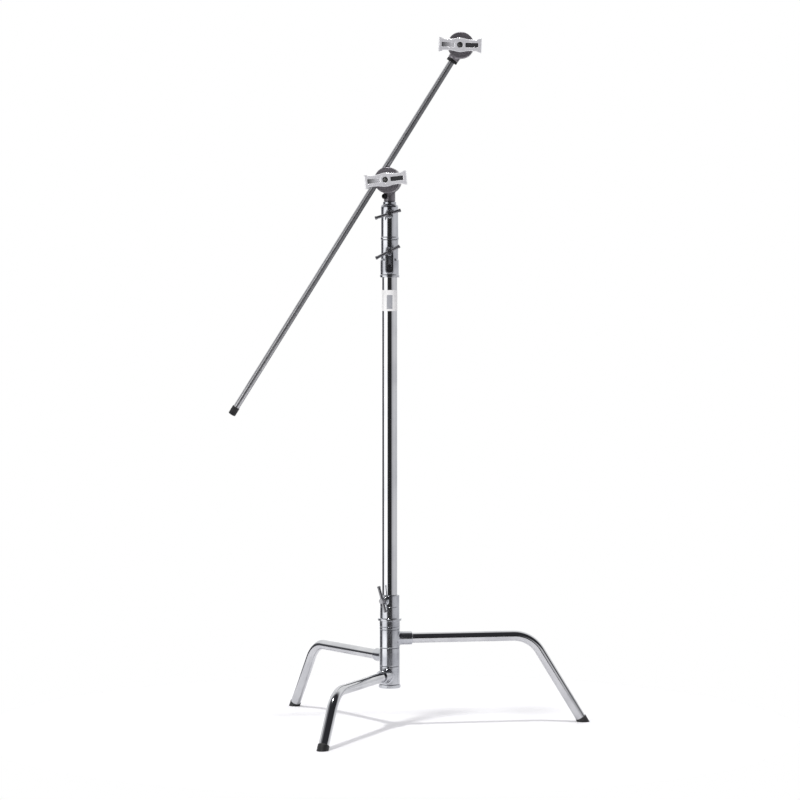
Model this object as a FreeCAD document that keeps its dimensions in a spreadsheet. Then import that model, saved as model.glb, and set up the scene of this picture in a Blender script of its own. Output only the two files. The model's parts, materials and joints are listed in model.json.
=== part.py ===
import FreeCAD, Part

import math
import os
import re

import Sketcher

# A three-legged studio stand: a folding base of stacked legs, a lift-out column, two risers
# and a long arm held between the jaws of a grip head. Millimetres, +Z up, mast axis on Z,
# floor at Z = 0. The front of the stand faces -Y.

doc = FreeCAD.newDocument("stand")

# ---------------------------------------------------------------- driving dimensions
DIMENSIONS = (
    ("column_od", 38.1, "first mast section, 1.5 inch tube"),
    ("column_id", 34.5, ""),
    ("column_bottom", 100.3, "rests just above the retaining nut's ledge"),
    ("column_top", 1118.0, ""),
    ("riser_od", 31.75, "second section, 1.25 inch tube"),
    ("riser_id", 28.45, ""),
    ("riser_bottom", 140.0, ""),
    ("riser_top", 1240.0, ""),
    ("top_od", 25.4, "third section, 1 inch tube"),
    ("top_id", 22.1, ""),
    ("top_bottom", 190.0, ""),
    ("top_top", 1276.4, ""),
    ("slide_play", 0.12, "diametral play of every sliding or turning fit"),
    ("bush_length", 25.0, ""),
    ("core_od", 42.4, "base tube that the legs turn on"),
    ("core_id", 38.22, "column slides in it"),
    ("core_bottom", 100.0, ""),
    ("core_top", 263.8, ""),
    ("nut_od", 54.0, ""),
    ("nut_bottom", 96.0, ""),
    ("nut_top", 104.4, ""),
    ("nut_hole", 31.0, ""),
    ("neck_od", 50.8, ""),
    ("neck_bottom", 239.6, ""),
    ("neck_groove", 246.0, ""),
    ("flange_od", 58.8, ""),
    ("flange_bottom", 261.0, ""),
    ("flange_top", 266.5, ""),
    ("socket_od", 48.5, ""),
    ("socket_line", 295.0, "turned line round the socket"),
    ("socket_top", 324.0, ""),
    ("hub_od", 50.0, ""),
    ("hub_pitch", 45.0, "height of one leg hub in the stack"),
    ("hub_gap", 0.3, ""),
    ("hub_low", 104.6, "underside of the lowest leg hub"),
    ("boss_od", 32.6, "round socket that holds the leg tube"),
    ("boss_reach", 55.0, ""),
    ("leg_od", 25.4, "1 inch tube"),
    ("leg_id", 21.4, ""),
    ("leg_start", 27.0, ""),
    ("leg_corner", 343.0, "corner radius of the lowest leg"),
    ("leg_nest", 5.4, "each higher leg reaches this much further, so folded legs nest"),
    ("leg_slope", 31.7, "angle of the leg's foot part from the vertical, degrees"),
    ("leg_bend", 78.0, "bend radius on the tube's centre line"),
    ("foot_od", 27.6, ""),
    ("foot_seat", 9.2, "tube end, measured along the leg from the floor"),
    ("foot_length", 13.2, "shallow cap, a wedge below the tube's square end"),
    ("lock_bore", 8.12, ""),
    ("lock_od", 8.0, "clamp screw"),
    ("lock_boss", 17.0, ""),
    ("lock_head", 13.0, ""),
    ("lock_face", 28.0, "distance of the boss face from the mast axis"),
    ("lock_bar_place", 34.0, "distance of the cross bar from the mast axis"),
    ("lock_bar_od", 7.2, ""),
    ("lock_bar_length", 66.0, ""),
    ("lock_end_od", 8.6, "small ball ends of the cross bar"),
    ("lock_head_gap", 0.4, "between a screw's head and its boss"),
    ("lock_head_length", 12.4, ""),
    ("lock_collar_length", 2.0, "thin collar outside the screw's head"),
    ("lock_root", 16.0, "where a boss starts inside its collar"),
    ("lock_tip_gap", 4.2, "between a screw's tip and the tube; the shoe fills it"),
    ("shoe_gap", 0.35, "between a brake shoe and the tube"),
    ("shoe_length", 3.0, ""),
    ("shoe_nose_length", 3.6, ""),
    ("base_lock_height", 311.0, ""),
    ("base_lock_step", 2.6, "the socket is wider, so its lock stands this much further out"),
    ("column_lock_height", 1162.0, ""),
    ("riser_lock_height", 1253.0, ""),
    ("collar_bottom", 1099.0, ""),
    ("collar_waist", 1140.0, ""),
    ("collar_top", 1190.5, ""),
    ("collar_flange_od", 48.5, ""),
    ("collar_od", 46.0, ""),
    ("collar_upper_od", 43.0, ""),
    ("rib_width", 20.0, "rounded rib down the front of the collar"),
    ("rib_low", 1118.6, "centre of the rib's round end"),
    ("rib_face", 26.0, ""),
    ("rib_root", 14.0, "where the rib starts inside the collar"),
    ("set_screw_height", 1127.0, ""),
    ("set_screw_od", 7.0, ""),
    ("cap_bottom", 1190.8, "second collar"),
    ("cap_top", 1276.0, ""),
    ("cap_od", 43.0, ""),
    ("cap_rim_od", 45.0, ""),
    ("cap_dome_od", 37.0, ""),
    ("label_bottom", 1017.0, ""),
    ("label_top", 1068.0, ""),
    ("label_skin", 0.25, ""),
    ("pin_od", 15.88, "5/8 inch spigot"),
    ("pin_waist_od", 13.6, ""),
    ("pin_flange_od", 33.0, ""),
    ("pin_flange_top", 1283.0, ""),
    ("pin_top", 1322.0, ""),
    ("bolt_height", 1334.0, "clamp bolt of the grip head on the mast"),
    ("jaw_od", 63.5, "2.5 inch grip head"),
    ("jaw_thickness", 9.0, ""),
    ("disc_back", 6.0, "distances along the clamp bolt from the stem's axis"),
    ("disc_front", 15.0, ""),
    ("jaw_play", 0.3, ""),
    ("rod_place", 27.3, "axis of a 5/8 inch rod between the jaws"),
    ("jaw_gap", 6.0, "gap between the jaw faces"),
    ("rod_offset", 21.0, "grooves' distance from the bolt's axis"),
    ("groove_wide", 16.0, "5/8 inch rods"),
    ("groove_half", 12.8, "1/2 inch rods"),
    ("groove_third", 9.6, "3/8 inch rods"),
    ("groove_small", 7.4, "1/4 inch rods"),
    ("bolt_od", 10.0, "clamp bolt"),
    ("bolt_end", 61.5, ""),
    ("bolt_seat_od", 22.0, "raised seat behind the stem"),
    ("bolt_seat_rise", 1.0, ""),
    ("bolt_head_radius", 9.8, "hexagon's centre to its corners"),
    ("bolt_head_thickness", 6.4, ""),
    ("washer_od", 24.0, ""),
    ("washer_thickness", 2.2, ""),
    ("handle_back", 42.0, "tee handle, distances along the bolt"),
    ("handle_web", 48.0, ""),
    ("handle_front", 64.0, ""),
    ("handle_reach", 51.5, "half the handle's length"),
    ("handle_hub", 17.0, "half height at the middle"),
    ("handle_arm", 13.4, "half height of the wings"),
    ("handle_tip", 18.0, "half height of the flared tips"),
    ("handle_channel", 3.5, "depth of the wings' channels"),
    ("handle_mouth", 10.0, "depth of the round mouth that the nut sits in"),
    ("handle_mouth_od", 13.78, ""),
    ("handle_hub_drop", 2.0, "the hub stops this far behind the plate's front"),
    ("channel_start", 13.0, "each wing's channel, from the handle's middle"),
    ("channel_half", 4.6, "half the channel's width at the hub"),
    ("channel_half_tip", 5.6, "half its width at the tip"),
    ("channel_margin", 7.5, "between the channel's end and the tip"),
    ("handle_nut", 13.0, "width across corners of the nut in the mouth"),
    ("handle_nut_thickness", 6.5, ""),
    ("stem_od", 28.0, ""),
    ("stem_low", 50.6, "stem's lower end below the bolt"),
    ("stem_short", 38.0, "stem of the head at the arm's end"),
    ("stem_high", 17.0, ""),
    ("stem_bore_end", 10.8, "blind end of the socket below the bolt"),
    ("pin_screw_drop", 38.0, "lock screw below the bolt"),
    ("pin_screw_od", 8.0, ""),
    ("pin_screw_head", 12.6, ""),
    ("pin_screw_head_length", 6.0, ""),
    ("pin_screw_socket", 3.36, "hexagon's centre to its corners"),
    ("rod_od", 15.88, "5/8 inch arm"),
    ("rod_id", 11.9, ""),
    ("rod_low", 687.0, "arm below the jaws"),
    ("rod_high", 352.0, "arm above the jaws"),
    ("arm_head", 369.0, "second head's bolt above the jaws"),
    ("arm_ring_od", 27.0, ""),
    ("arm_ring_length", 8.0, ""),
    ("arm_cap_od", 18.6, ""),
    ("arm_cap_length", 22.0, ""),
    ("arm_cap_wall", 3.0, "rubber beyond the rod's end"),
)

# Directions, in degrees. Azimuths run from +X towards +Y.
LEG_AZIMUTHS = {"lower": 248.4, "middle": 122.7, "top": 10.2}
LEG_ORDER = ("lower", "middle", "top")
FRONT = -90.0
BASE_LOCK_AZIMUTH = FRONT - 28.0
LOCK_TILTS = {"base": 107.0, "column": 27.0, "riser": 17.5}
LOCK_SLIDES = {"base": 4.5, "column": -5.0, "riser": -4.3}
HEAD_TURN = -9.5
ARM_PITCH = 57.5
ARM_HEAD_ROLL = 5.8
HANDLE_TILTS = {"head": 5.8, "arm_head": -2.8}
PIN_SCREW_TURN = -36.0

UP = FreeCAD.Vector(0, 0, 1)
SIDE = FreeCAD.Vector(1, 0, 0)
BACK = FreeCAD.Vector(0, 1, 0)
HOME = FreeCAD.Placement()

sheet = doc.addObject("Spreadsheet::Sheet", "Dims")
for row, (alias, size, note) in enumerate(DIMENSIONS, start=1):
    sheet.set("A%d" % row, alias)
    sheet.set("B%d" % row, str(size))
    sheet.set("C%d" % row, note)
    sheet.setAlias("B%d" % row, alias)
doc.recompute()

ALIASES = {alias for alias, _, _ in DIMENSIONS}
SUBPARTS = []


# ---------------------------------------------------------------- helpers
def formula(text):
    """Turn a formula in plain aliases into one that points at the sheet's cells."""
    return re.sub(r"[a-z_]+", lambda m: "Dims." + m[0] if m[0] in ALIASES else m[0], text)


def value(text):
    """Work a formula out as a plain number."""
    return float(sheet.evalExpression(formula(text)))


def bind(item, **formulas):
    """Drive an object's properties from the sheet."""
    for name, text in formulas.items():
        item.setExpression(name, formula(text))


def place(item, base=("0", "0", "0"), axis=UP):
    """Stand a primitive on a point, with its own Z along an axis."""
    item.Placement = FreeCAD.Placement(FreeCAD.Vector(), FreeCAD.Rotation(UP, axis))
    for letter, text in zip("xyz", base):
        item.setExpression("Placement.Base." + letter, formula(text))
    return item


def cylinder(name, across, length, base=("0", "0", "0"), axis=UP):
    item = doc.addObject("Part::Cylinder", name)
    bind(item, Radius="(%s) / 2" % across, Height=length)
    return place(item, base, axis)


def block(name, length, width, height, base):
    item = doc.addObject("Part::Box", name)
    bind(item, Length=length, Width=width, Height=height)
    return place(item, base)


def fuse(name, *items):
    item = doc.addObject("Part::MultiFuse", name)
    item.Shapes = list(items)
    return item


def cut(name, base, *tools):
    """Base less one tool, or less several tools fused first."""
    item = doc.addObject("Part::Cut", name)
    item.Base = base
    item.Tool = tools[0] if len(tools) == 1 else fuse(name + "_tools", *tools)
    return item


def subpart(item, node, placement=HOME):
    """Name the finished object after its node and put it in its place."""
    item.Label = node
    item.Placement = placement
    SUBPARTS.append(item)
    return item


def origin_plane(body, role):
    return next(feature for feature in body.Origin.OriginFeatures if feature.Role == role)


def attach(sketch, body, role, lift="0"):
    sketch.AttachmentSupport = [(origin_plane(body, role), "")]
    sketch.MapMode = "FlatFace"
    sketch.setExpression("AttachmentOffset.Base.z", formula(lift))


def outline(body, name, role, corners, lift="0"):
    """Closed straight-sided sketch whose corners are pairs of formulas."""
    sketch = body.newObject("Sketcher::SketchObject", name)
    attach(sketch, body, role, lift)
    spots = [FreeCAD.Vector(value(across), value(along), 0) for across, along in corners]
    count = len(spots)
    for index in range(count):
        sketch.addGeometry(Part.LineSegment(spots[index], spots[(index + 1) % count]), False)
    for index in range(count):
        sketch.addConstraint(Sketcher.Constraint("Coincident", index, 2, (index + 1) % count, 1))
    for index, pair in enumerate(corners):
        numbers = (spots[index].x, spots[index].y)
        for kind, axis, text, number in zip(("DistanceX", "DistanceY"), (-2, -1), pair, numbers):
            if number == 0:
                sketch.addConstraint(Sketcher.Constraint("PointOnObject", index, 1, axis))
                continue
            made = sketch.addConstraint(Sketcher.Constraint(kind, -1, 1, index, 1, number))
            sketch.setExpression("Constraints[%d]" % made, formula(text))
    return sketch


def circle_sketch(body, name, role, rings, lift="0"):
    """Sketch of circles, each given as across, x and y formulas."""
    sketch = body.newObject("Sketcher::SketchObject", name)
    attach(sketch, body, role, lift)
    for index, (across, centre_x, centre_y) in enumerate(rings):
        centre = FreeCAD.Vector(value(centre_x), value(centre_y), 0)
        radius = value(across) / 2
        sketch.addGeometry(Part.Circle(centre, UP, radius), False)
        made = sketch.addConstraint(Sketcher.Constraint("Radius", index, radius))
        sketch.setExpression("Constraints[%d]" % made, formula("(%s) / 2" % across))
        pairs = (("DistanceX", -2, centre_x, centre.x), ("DistanceY", -1, centre_y, centre.y))
        for kind, axis, text, number in pairs:
            if number == 0:
                sketch.addConstraint(Sketcher.Constraint("PointOnObject", index, 3, axis))
                continue
            made = sketch.addConstraint(Sketcher.Constraint(kind, -1, 1, index, 3, number))
            sketch.setExpression("Constraints[%d]" % made, formula(text))
    return sketch


def turned(name, profile):
    """Body turned about Z from (diameter, height) formulas in order round the section."""
    body = doc.addObject("PartDesign::Body", name)
    corners = [("(%s) / 2" % across if across != "0" else "0", height) for across, height in profile]
    sketch = outline(body, name + "_section", "XZ_Plane", corners)
    solid = body.newObject("PartDesign::Revolution", name + "_turning")
    solid.Profile = sketch
    solid.ReferenceAxis = (sketch, ["V_Axis"])
    solid.Angle = 360
    sketch.Visibility = False
    return body


def ring(name, outside, inside, bottom, top):
    return turned(name, ((inside, bottom), (outside, bottom), (outside, top), (inside, top)))


def radial(azimuth):
    angle = math.radians(azimuth)
    return FreeCAD.Vector(math.cos(angle), math.sin(angle), 0)


def turn(azimuth):
    return FreeCAD.Placement(FreeCAD.Vector(), FreeCAD.Rotation(UP, azimuth))


# ---------------------------------------------------------------- clamp screws with cross bars
def lock_hole(name, height, reach="column_od"):
    """Bore for a clamp screw, along -Y from the mast's centre out through the boss."""
    return cylinder(name, "lock_bore", reach, ("0", "0", height), -BACK)


def lock_boss(name, height, step="0"):
    return cylinder(name, "lock_boss", "lock_face + %s - lock_root" % step,
                    ("0", "-lock_root", height), -BACK)


def brake_shoe(node, mast, height, placement=HOME):
    """Short brass pad between a clamp screw and the tube that it grips."""
    face = ("0", "-(%s) / 2 - shoe_gap" % mast, height)
    pad = cylinder(node + "_pad", "lock_od - 0.2", "shoe_length", face, -BACK)
    nose = cylinder(node + "_nose", "lock_od - 3", "shoe_nose_length", face, -BACK)
    subpart(fuse(node, pad, nose), node, placement)


def lock(place_name, mast, height, placement=HOME, step="0"):
    """A clamp screw and the cross bar through its head.

    The bar is tilted about the screw and slid along its own length, in millimetres.
    """
    name = place_name + "_lock"
    tip = "-(%s) / 2 - lock_tip_gap" % mast
    bar_place = "lock_bar_place + %s" % step
    shank_length = "%s + %s" % (bar_place, tip)
    shank = cylinder(name + "_shank", "lock_od", shank_length, ("0", tip, height), -BACK)
    head_foot = "-(lock_face + %s) - lock_head_gap" % step
    head = cylinder(name + "_head", "lock_head", "lock_head_length", ("0", head_foot, height), -BACK)
    collar_foot = "-(lock_face + %s) - lock_head_length" % step
    collar = cylinder(name + "_collar", "lock_od + 3", "lock_collar_length",
                      ("0", collar_foot, height), -BACK)
    across = radial(LOCK_TILTS[place_name])
    along = FreeCAD.Vector(across.x, 0, across.y)
    half = value("lock_bar_length") / 2
    middle = FreeCAD.Vector(0, -value(bar_place), value(height)) + along * LOCK_SLIDES[place_name]

    def along_bar(label, outside, start, length):
        """Round stretch of the bar; start and length are fractions of its half length."""
        spot = middle + along * (half * start)
        item = doc.addObject("Part::Cylinder", name + label)
        bind(item, Radius="(%s) / 2" % outside, Height="lock_bar_length / 2 * %g" % length)
        item.Placement = FreeCAD.Placement(spot, FreeCAD.Rotation(UP, along))
        return item

    hole = along_bar("_hole", "lock_bar_od + 0.1", -0.5, 1.0)
    subpart(cut(name + "_screw", fuse(name + "_blank", shank, head, collar), hole),
            name + "_screw", placement)
    bar = along_bar("_rod", "lock_bar_od", -0.96, 1.92)
    low_end = along_bar("_end_low", "lock_end_od", -1.0, 0.13)
    high_end = along_bar("_end_high", "lock_end_od", 0.87, 0.13)
    subpart(fuse(name + "_bar", bar, low_end, high_end), name + "_bar", placement)


# ---------------------------------------------------------------- base
def build_base():
    subpart(ring("base_core", "core_od", "core_id", "core_bottom", "core_top"), "base_core_tube")
    nut = turned("base_nut", (
        ("nut_hole", "nut_bottom"), ("nut_od - 3", "nut_bottom"), ("nut_od", "nut_bottom + 1.5"),
        ("nut_od", "nut_top"), ("core_od + 0.1", "nut_top"), ("core_od + 0.1", "core_bottom"),
        ("nut_hole", "core_bottom")))
    subpart(nut, "base_retaining_nut")
    neck = turned("base_neck", (
        ("core_od + 0.1", "neck_bottom"), ("neck_od - 1", "neck_bottom"),
        ("neck_od", "neck_bottom + 0.5"), ("neck_od", "neck_groove - 0.6"),
        ("neck_od - 1.4", "neck_groove"), ("neck_od", "neck_groove + 0.6"),
        ("neck_od", "flange_bottom"), ("core_od + 0.1", "flange_bottom")))
    subpart(neck, "base_neck_ring")
    build_socket()


def build_socket():
    """Flanged cup on top of the base that the column drops into."""
    place_lock = turn(BASE_LOCK_AZIMUTH - FRONT)
    cup = turned("socket_cup", (
        ("core_od + 0.1", "flange_bottom"), ("flange_od - 2", "flange_bottom"),
        ("flange_od", "flange_bottom + 1"), ("flange_od", "flange_top - 1"),
        ("flange_od - 2", "flange_top"), ("socket_od", "flange_top"),
        ("socket_od", "socket_line - 0.7"), ("socket_od - 1.4", "socket_line"),
        ("socket_od", "socket_line + 0.7"), ("socket_od", "socket_top - 2"),
        ("socket_od - 4", "socket_top"), ("core_id", "socket_top"),
        ("core_id", "core_top + 0.2"), ("core_od + 0.1", "core_top + 0.2")))
    boss = lock_boss("socket_boss", "base_lock_height", "base_lock_step")
    inside = cylinder("socket_inside", "core_id", "socket_top - core_top", ("0", "0", "core_top"))
    hole = lock_hole("socket_lock_hole", "base_lock_height")
    socket = cut("socket_cut", fuse("socket_blank", cup, boss), inside, hole)
    subpart(socket, "base_socket", place_lock)
    brake_shoe("base_brake_shoe", "column_od", "base_lock_height", place_lock)
    lock("base", "column_od", "base_lock_height", place_lock, "base_lock_step")


# ---------------------------------------------------------------- legs
def build_leg(name, level):
    """One leg: a hub ring with a side socket, a bent tube and a slanted foot cap.

    The leg is drawn along +X and turned to its azimuth. Level counts hubs up from the lowest.
    """
    azimuth = turn(LEG_AZIMUTHS[name])
    axis_height = "hub_low + hub_pitch * %d + (hub_pitch - hub_gap) / 2" % level
    corner = "leg_corner + leg_nest * %d" % level
    hub_bottom = "hub_low + hub_pitch * %d" % level
    hub_height = "hub_pitch - hub_gap"
    hub_top = hub_bottom + " + " + hub_height

    band = turned(name + "_hub_ring", (
        ("core_od + slide_play", hub_bottom), ("hub_od - 2", hub_bottom),
        ("hub_od", hub_bottom + " + 1"), ("hub_od", hub_top + " - 1"),
        ("hub_od - 2", hub_top), ("core_od + slide_play", hub_top)))
    boss = cylinder(name + "_hub_boss", "boss_od", "boss_reach - lock_root",
                    ("lock_root", "0", axis_height), SIDE)
    bore = cylinder(name + "_hub_bore", "core_od + slide_play", hub_height, ("0", "0", hub_bottom))
    seat = cylinder(name + "_hub_seat", "leg_od + 0.1", "boss_reach",
                    ("leg_start - 0.1", "0", axis_height), SIDE)
    hub = cut(name + "_hub", fuse(name + "_hub_blank", band, boss), bore, seat)
    subpart(hub, name + "_leg_hub", azimuth)

    build_leg_tube(name, axis_height, corner, azimuth)
    build_foot(name, axis_height, corner, azimuth)


def build_leg_tube(name, axis_height, corner, azimuth):
    """Tube along a straight run, one bend and the slanted run down to the foot."""
    slope = math.radians(value("leg_slope"))
    height, reach, bend = value(axis_height), value(corner), value("leg_bend")
    setback = bend * math.tan((math.pi / 2 - slope) / 2)
    down = FreeCAD.Vector(math.sin(slope), -math.cos(slope), 0)
    knee = FreeCAD.Vector(reach, height, 0)
    start = FreeCAD.Vector(value("leg_start"), height, 0)
    bend_in = knee - FreeCAD.Vector(setback, 0, 0)
    bend_out = knee + down * setback
    centre = bend_in - FreeCAD.Vector(0, bend, 0)
    floor = knee + down * (height / math.cos(slope))
    end = floor - down * value("foot_seat")

    body = doc.addObject("PartDesign::Body", name + "_tube")
    path = body.newObject("Sketcher::SketchObject", name + "_path")
    attach(path, body, "XZ_Plane")
    path.addGeometry(Part.LineSegment(start, bend_in), False)
    arc = Part.Circle(centre, UP, bend)
    path.addGeometry(Part.ArcOfCircle(arc, slope, math.pi / 2), False)
    path.addGeometry(Part.LineSegment(bend_out, end), False)
    rules = (("Tangent", 0, 2, 1, 2), ("Tangent", 1, 1, 2, 1), ("Horizontal", 0))
    for rule in rules:
        path.addConstraint(Sketcher.Constraint(*rule))
    end_reach = "%s + (%s) * tan(leg_slope) - foot_seat * sin(leg_slope)" % (corner, axis_height)
    sizes = (
        ("DistanceX", (-1, 1, 0, 1), "leg_start"), ("DistanceY", (-1, 1, 0, 1), axis_height),
        ("Radius", (1,), "leg_bend"),
        ("DistanceX", (-1, 1, 2, 2), end_reach),
        ("DistanceY", (-1, 1, 2, 2), "foot_seat * cos(leg_slope)"))
    for kind, where, text in sizes:
        made = path.addConstraint(Sketcher.Constraint(kind, *where, value(degrees(text))))
        path.setExpression("Constraints[%d]" % made, formula(degrees(text)))
    angle = path.addConstraint(Sketcher.Constraint("Angle", 2, slope - math.pi / 2))
    path.setExpression("Constraints[%d]" % angle, formula("(leg_slope - 90) * 1 deg"))

    section = circle_sketch(body, name + "_section", "YZ_Plane",
                            (("leg_od", "0", axis_height), ("leg_id", "0", axis_height)), "leg_start")
    pipe = body.newObject("PartDesign::AdditivePipe", name + "_pipe")
    pipe.Profile = section
    pipe.Spine = (path, ["Edge1", "Edge2", "Edge3"])
    subpart(body, name + "_leg_tube", azimuth)


def degrees(text):
    """Give the slope its unit inside a formula's sine, cosine or tangent."""
    return text.replace("(leg_slope)", "(leg_slope * 1 deg)")


def build_foot(name, axis_height, corner, azimuth):
    """Rubber cap square to the tube, cut flat where it stands on the floor."""
    slope = math.radians(value("leg_slope"))
    up_leg = FreeCAD.Vector(-math.sin(slope), 0, math.cos(slope))
    touch = degrees("%s + (%s) * tan(leg_slope)" % (corner, axis_height))

    def on_leg(label, across, start, length):
        reach = degrees("%s - (%s) * sin(leg_slope)" % (touch, start))
        height = degrees("(%s) * cos(leg_slope)" % start)
        return cylinder(name + label, across, length, (reach, "0", height), up_leg)

    skin = on_leg("_foot_skin", "foot_od", "-foot_od", "foot_od + foot_length")
    seat = on_leg("_foot_bore", "leg_od + 0.1", "foot_seat", "foot_length")
    below = block(name + "_foot_floor", "foot_od * 6", "foot_od * 2", "foot_od * 3",
                  (touch + " - foot_od * 3", "-foot_od", "-foot_od * 3"))
    subpart(cut(name + "_foot", skin, seat, below), name + "_leg_foot", azimuth)


# ---------------------------------------------------------------- column and risers
def build_column():
    subpart(ring("column", "column_od", "column_id", "column_bottom", "column_top"), "column_tube")
    label = ring("label", "column_od + 2 * label_skin", "column_od + 0.02", "label_bottom", "label_top")
    subpart(label, "column_label")
    sleeve = turned("collar_sleeve", (
        ("column_od + 0.06", "collar_bottom"), ("collar_flange_od - 1.6", "collar_bottom"),
        ("collar_flange_od", "collar_bottom + 0.8"), ("collar_flange_od", "collar_bottom + 5.2"),
        ("collar_od", "collar_bottom + 6.4"), ("collar_od", "collar_waist"),
        ("collar_upper_od", "collar_waist + 4"), ("collar_upper_od", "collar_top - 1.2"),
        ("collar_upper_od - 2.4", "collar_top"), ("riser_od + slide_play", "collar_top"),
        ("riser_od + slide_play", "column_top + 0.1"), ("column_od + 0.06", "column_top + 0.1")))
    rib_depth = "rib_face - rib_root"
    rib = block("collar_rib", "rib_width", rib_depth, "column_lock_height - rib_low",
                ("-rib_width / 2", "-rib_face", "rib_low"))
    rib_end = cylinder("collar_rib_end", "rib_width", rib_depth, ("0", "-rib_root", "rib_low"), -BACK)
    rib_top = cylinder("collar_rib_top", "rib_width", rib_depth,
                       ("0", "-rib_root", "column_lock_height"), -BACK)
    boss = lock_boss("collar_boss", "column_lock_height")
    low_bore = cylinder("collar_low_bore", "column_od + 0.06", "column_top + 0.1 - collar_bottom",
                        ("0", "0", "collar_bottom"))
    high_bore = cylinder("collar_high_bore", "riser_od + slide_play", "collar_top - column_top",
                         ("0", "0", "column_top"))
    lock_bore = lock_hole("collar_lock_hole", "column_lock_height")
    screw_bore = cylinder("collar_set_hole", "set_screw_od + 0.1", "rib_face + 4",
                          ("0", "0", "set_screw_height"), -BACK)
    blank = fuse("collar_blank", sleeve, rib, rib_end, rib_top, boss)
    subpart(cut("collar_cut", blank, low_bore, high_bore, lock_bore, screw_bore), "column_collar")
    socket_screw("column_collar_set_screw", "set_screw_od", "set_screw_height",
                 "column_od / 2 + 0.1", "rib_face - 0.8")
    brake_shoe("column_brake_shoe", "riser_od", "column_lock_height")
    lock("column", "riser_od", "column_lock_height")


def socket_screw(node, across, height, start, end):
    """Headless screw along -Y with a hexagon socket in its outer end."""
    inner_end = ("0", "-(%s)" % start, height)
    shank = cylinder(node + "_shank", across, "%s - (%s)" % (end, start), inner_end, -BACK)
    socket = doc.addObject("Part::Prism", node + "_socket")
    bind(socket, Circumradius="(%s) * 0.3" % across, Height="3")
    place(socket, ("0", "-(%s) + 2.5" % end, height), -BACK)
    subpart(cut(node, shank, socket), node)


def build_riser():
    subpart(ring("riser", "riser_od", "riser_id", "riser_bottom", "riser_top"), "riser_two_tube")
    bush = ring("riser_bush", "column_id - slide_play", "riser_od",
                "riser_bottom", "riser_bottom + bush_length")
    subpart(bush, "riser_two_bush")
    sleeve = turned("cap_sleeve", (
        ("riser_od + 0.06", "cap_bottom"), ("cap_rim_od - 1.2", "cap_bottom"),
        ("cap_rim_od", "cap_bottom + 0.8"), ("cap_rim_od", "cap_bottom + 5"),
        ("cap_od", "cap_bottom + 6.4"), ("cap_od", "cap_top - 6"), ("cap_od - 1.6", "cap_top - 3"),
        ("cap_dome_od", "cap_top"), ("top_od + slide_play", "cap_top"),
        ("top_od + slide_play", "riser_top + 0.1"), ("riser_od + 0.06", "riser_top + 0.1")))
    boss = lock_boss("cap_boss", "riser_lock_height")
    low_bore = cylinder("cap_low_bore", "riser_od + 0.06", "riser_top + 0.1 - cap_bottom",
                        ("0", "0", "cap_bottom"))
    high_bore = cylinder("cap_high_bore", "top_od + slide_play", "cap_top - riser_top",
                         ("0", "0", "riser_top"))
    hole = lock_hole("cap_lock_hole", "riser_lock_height")
    blank = fuse("cap_blank", sleeve, boss)
    subpart(cut("cap_cut", blank, low_bore, high_bore, hole), "riser_two_collar")
    brake_shoe("riser_brake_shoe", "top_od", "riser_lock_height")
    lock("riser", "top_od", "riser_lock_height")


def build_top_riser():
    subpart(ring("top", "top_od", "top_id", "top_bottom", "top_top"), "top_riser_tube")
    bush = ring("top_bush", "riser_id - slide_play", "top_od", "top_bottom", "top_bottom + bush_length")
    subpart(bush, "top_riser_bush")
    pin = turned("pin", (
        ("0", "top_top - 45"), ("top_id - 0.1", "top_top - 45"), ("top_id - 0.1", "top_top"),
        ("pin_flange_od - 1.6", "top_top"), ("pin_flange_od", "top_top + 0.8"),
        ("pin_flange_od", "pin_flange_top - 0.8"), ("pin_flange_od - 1.6", "pin_flange_top"),
        ("pin_od", "pin_flange_top"), ("pin_od", "pin_flange_top + 6"),
        ("pin_waist_od", "pin_flange_top + 8"), ("pin_waist_od", "pin_flange_top + 19"),
        ("pin_od", "pin_flange_top + 21"), ("pin_od", "pin_top - 1.5"),
        ("pin_od - 3", "pin_top"), ("0", "pin_top")))
    subpart(pin, "baby_pin")


# ---------------------------------------------------------------- grip heads
# A head is drawn with its clamp bolt along +Z, its stem down -Y and its origin where the
# bolt's axis meets the stem's axis.
def frame_of(origin, front, upward):
    """Placement whose Z is the head's front and whose Y is its upward direction."""
    across = upward.cross(front)
    matrix = FreeCAD.Matrix(
        across.x, upward.x, front.x, origin.x, across.y, upward.y, front.y, origin.y,
        across.z, upward.z, front.z, origin.z, 0, 0, 0, 1)
    return FreeCAD.Placement(matrix)


def spin(placement, angle):
    """The same placement with the drawing turned about its own Z first."""
    return placement.multiply(FreeCAD.Placement(FreeCAD.Vector(), FreeCAD.Rotation(UP, angle)))


def arm_line():
    """Direction of the arm, the point of its axis nearest the bolt, and the mast head's frame."""
    front = radial(FRONT + HEAD_TURN)
    head = frame_of(FreeCAD.Vector(0, 0, value("bolt_height")), front, UP)
    pitch = math.radians(ARM_PITCH)
    along = head.Rotation.multVec(FreeCAD.Vector(math.cos(pitch), math.sin(pitch), 0))
    offset = head.Rotation.multVec(FreeCAD.Vector(-math.sin(pitch), math.cos(pitch), 0))
    foot = head.Base + front * value("rod_place") + offset * value("rod_offset")
    return along, foot, head


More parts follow.
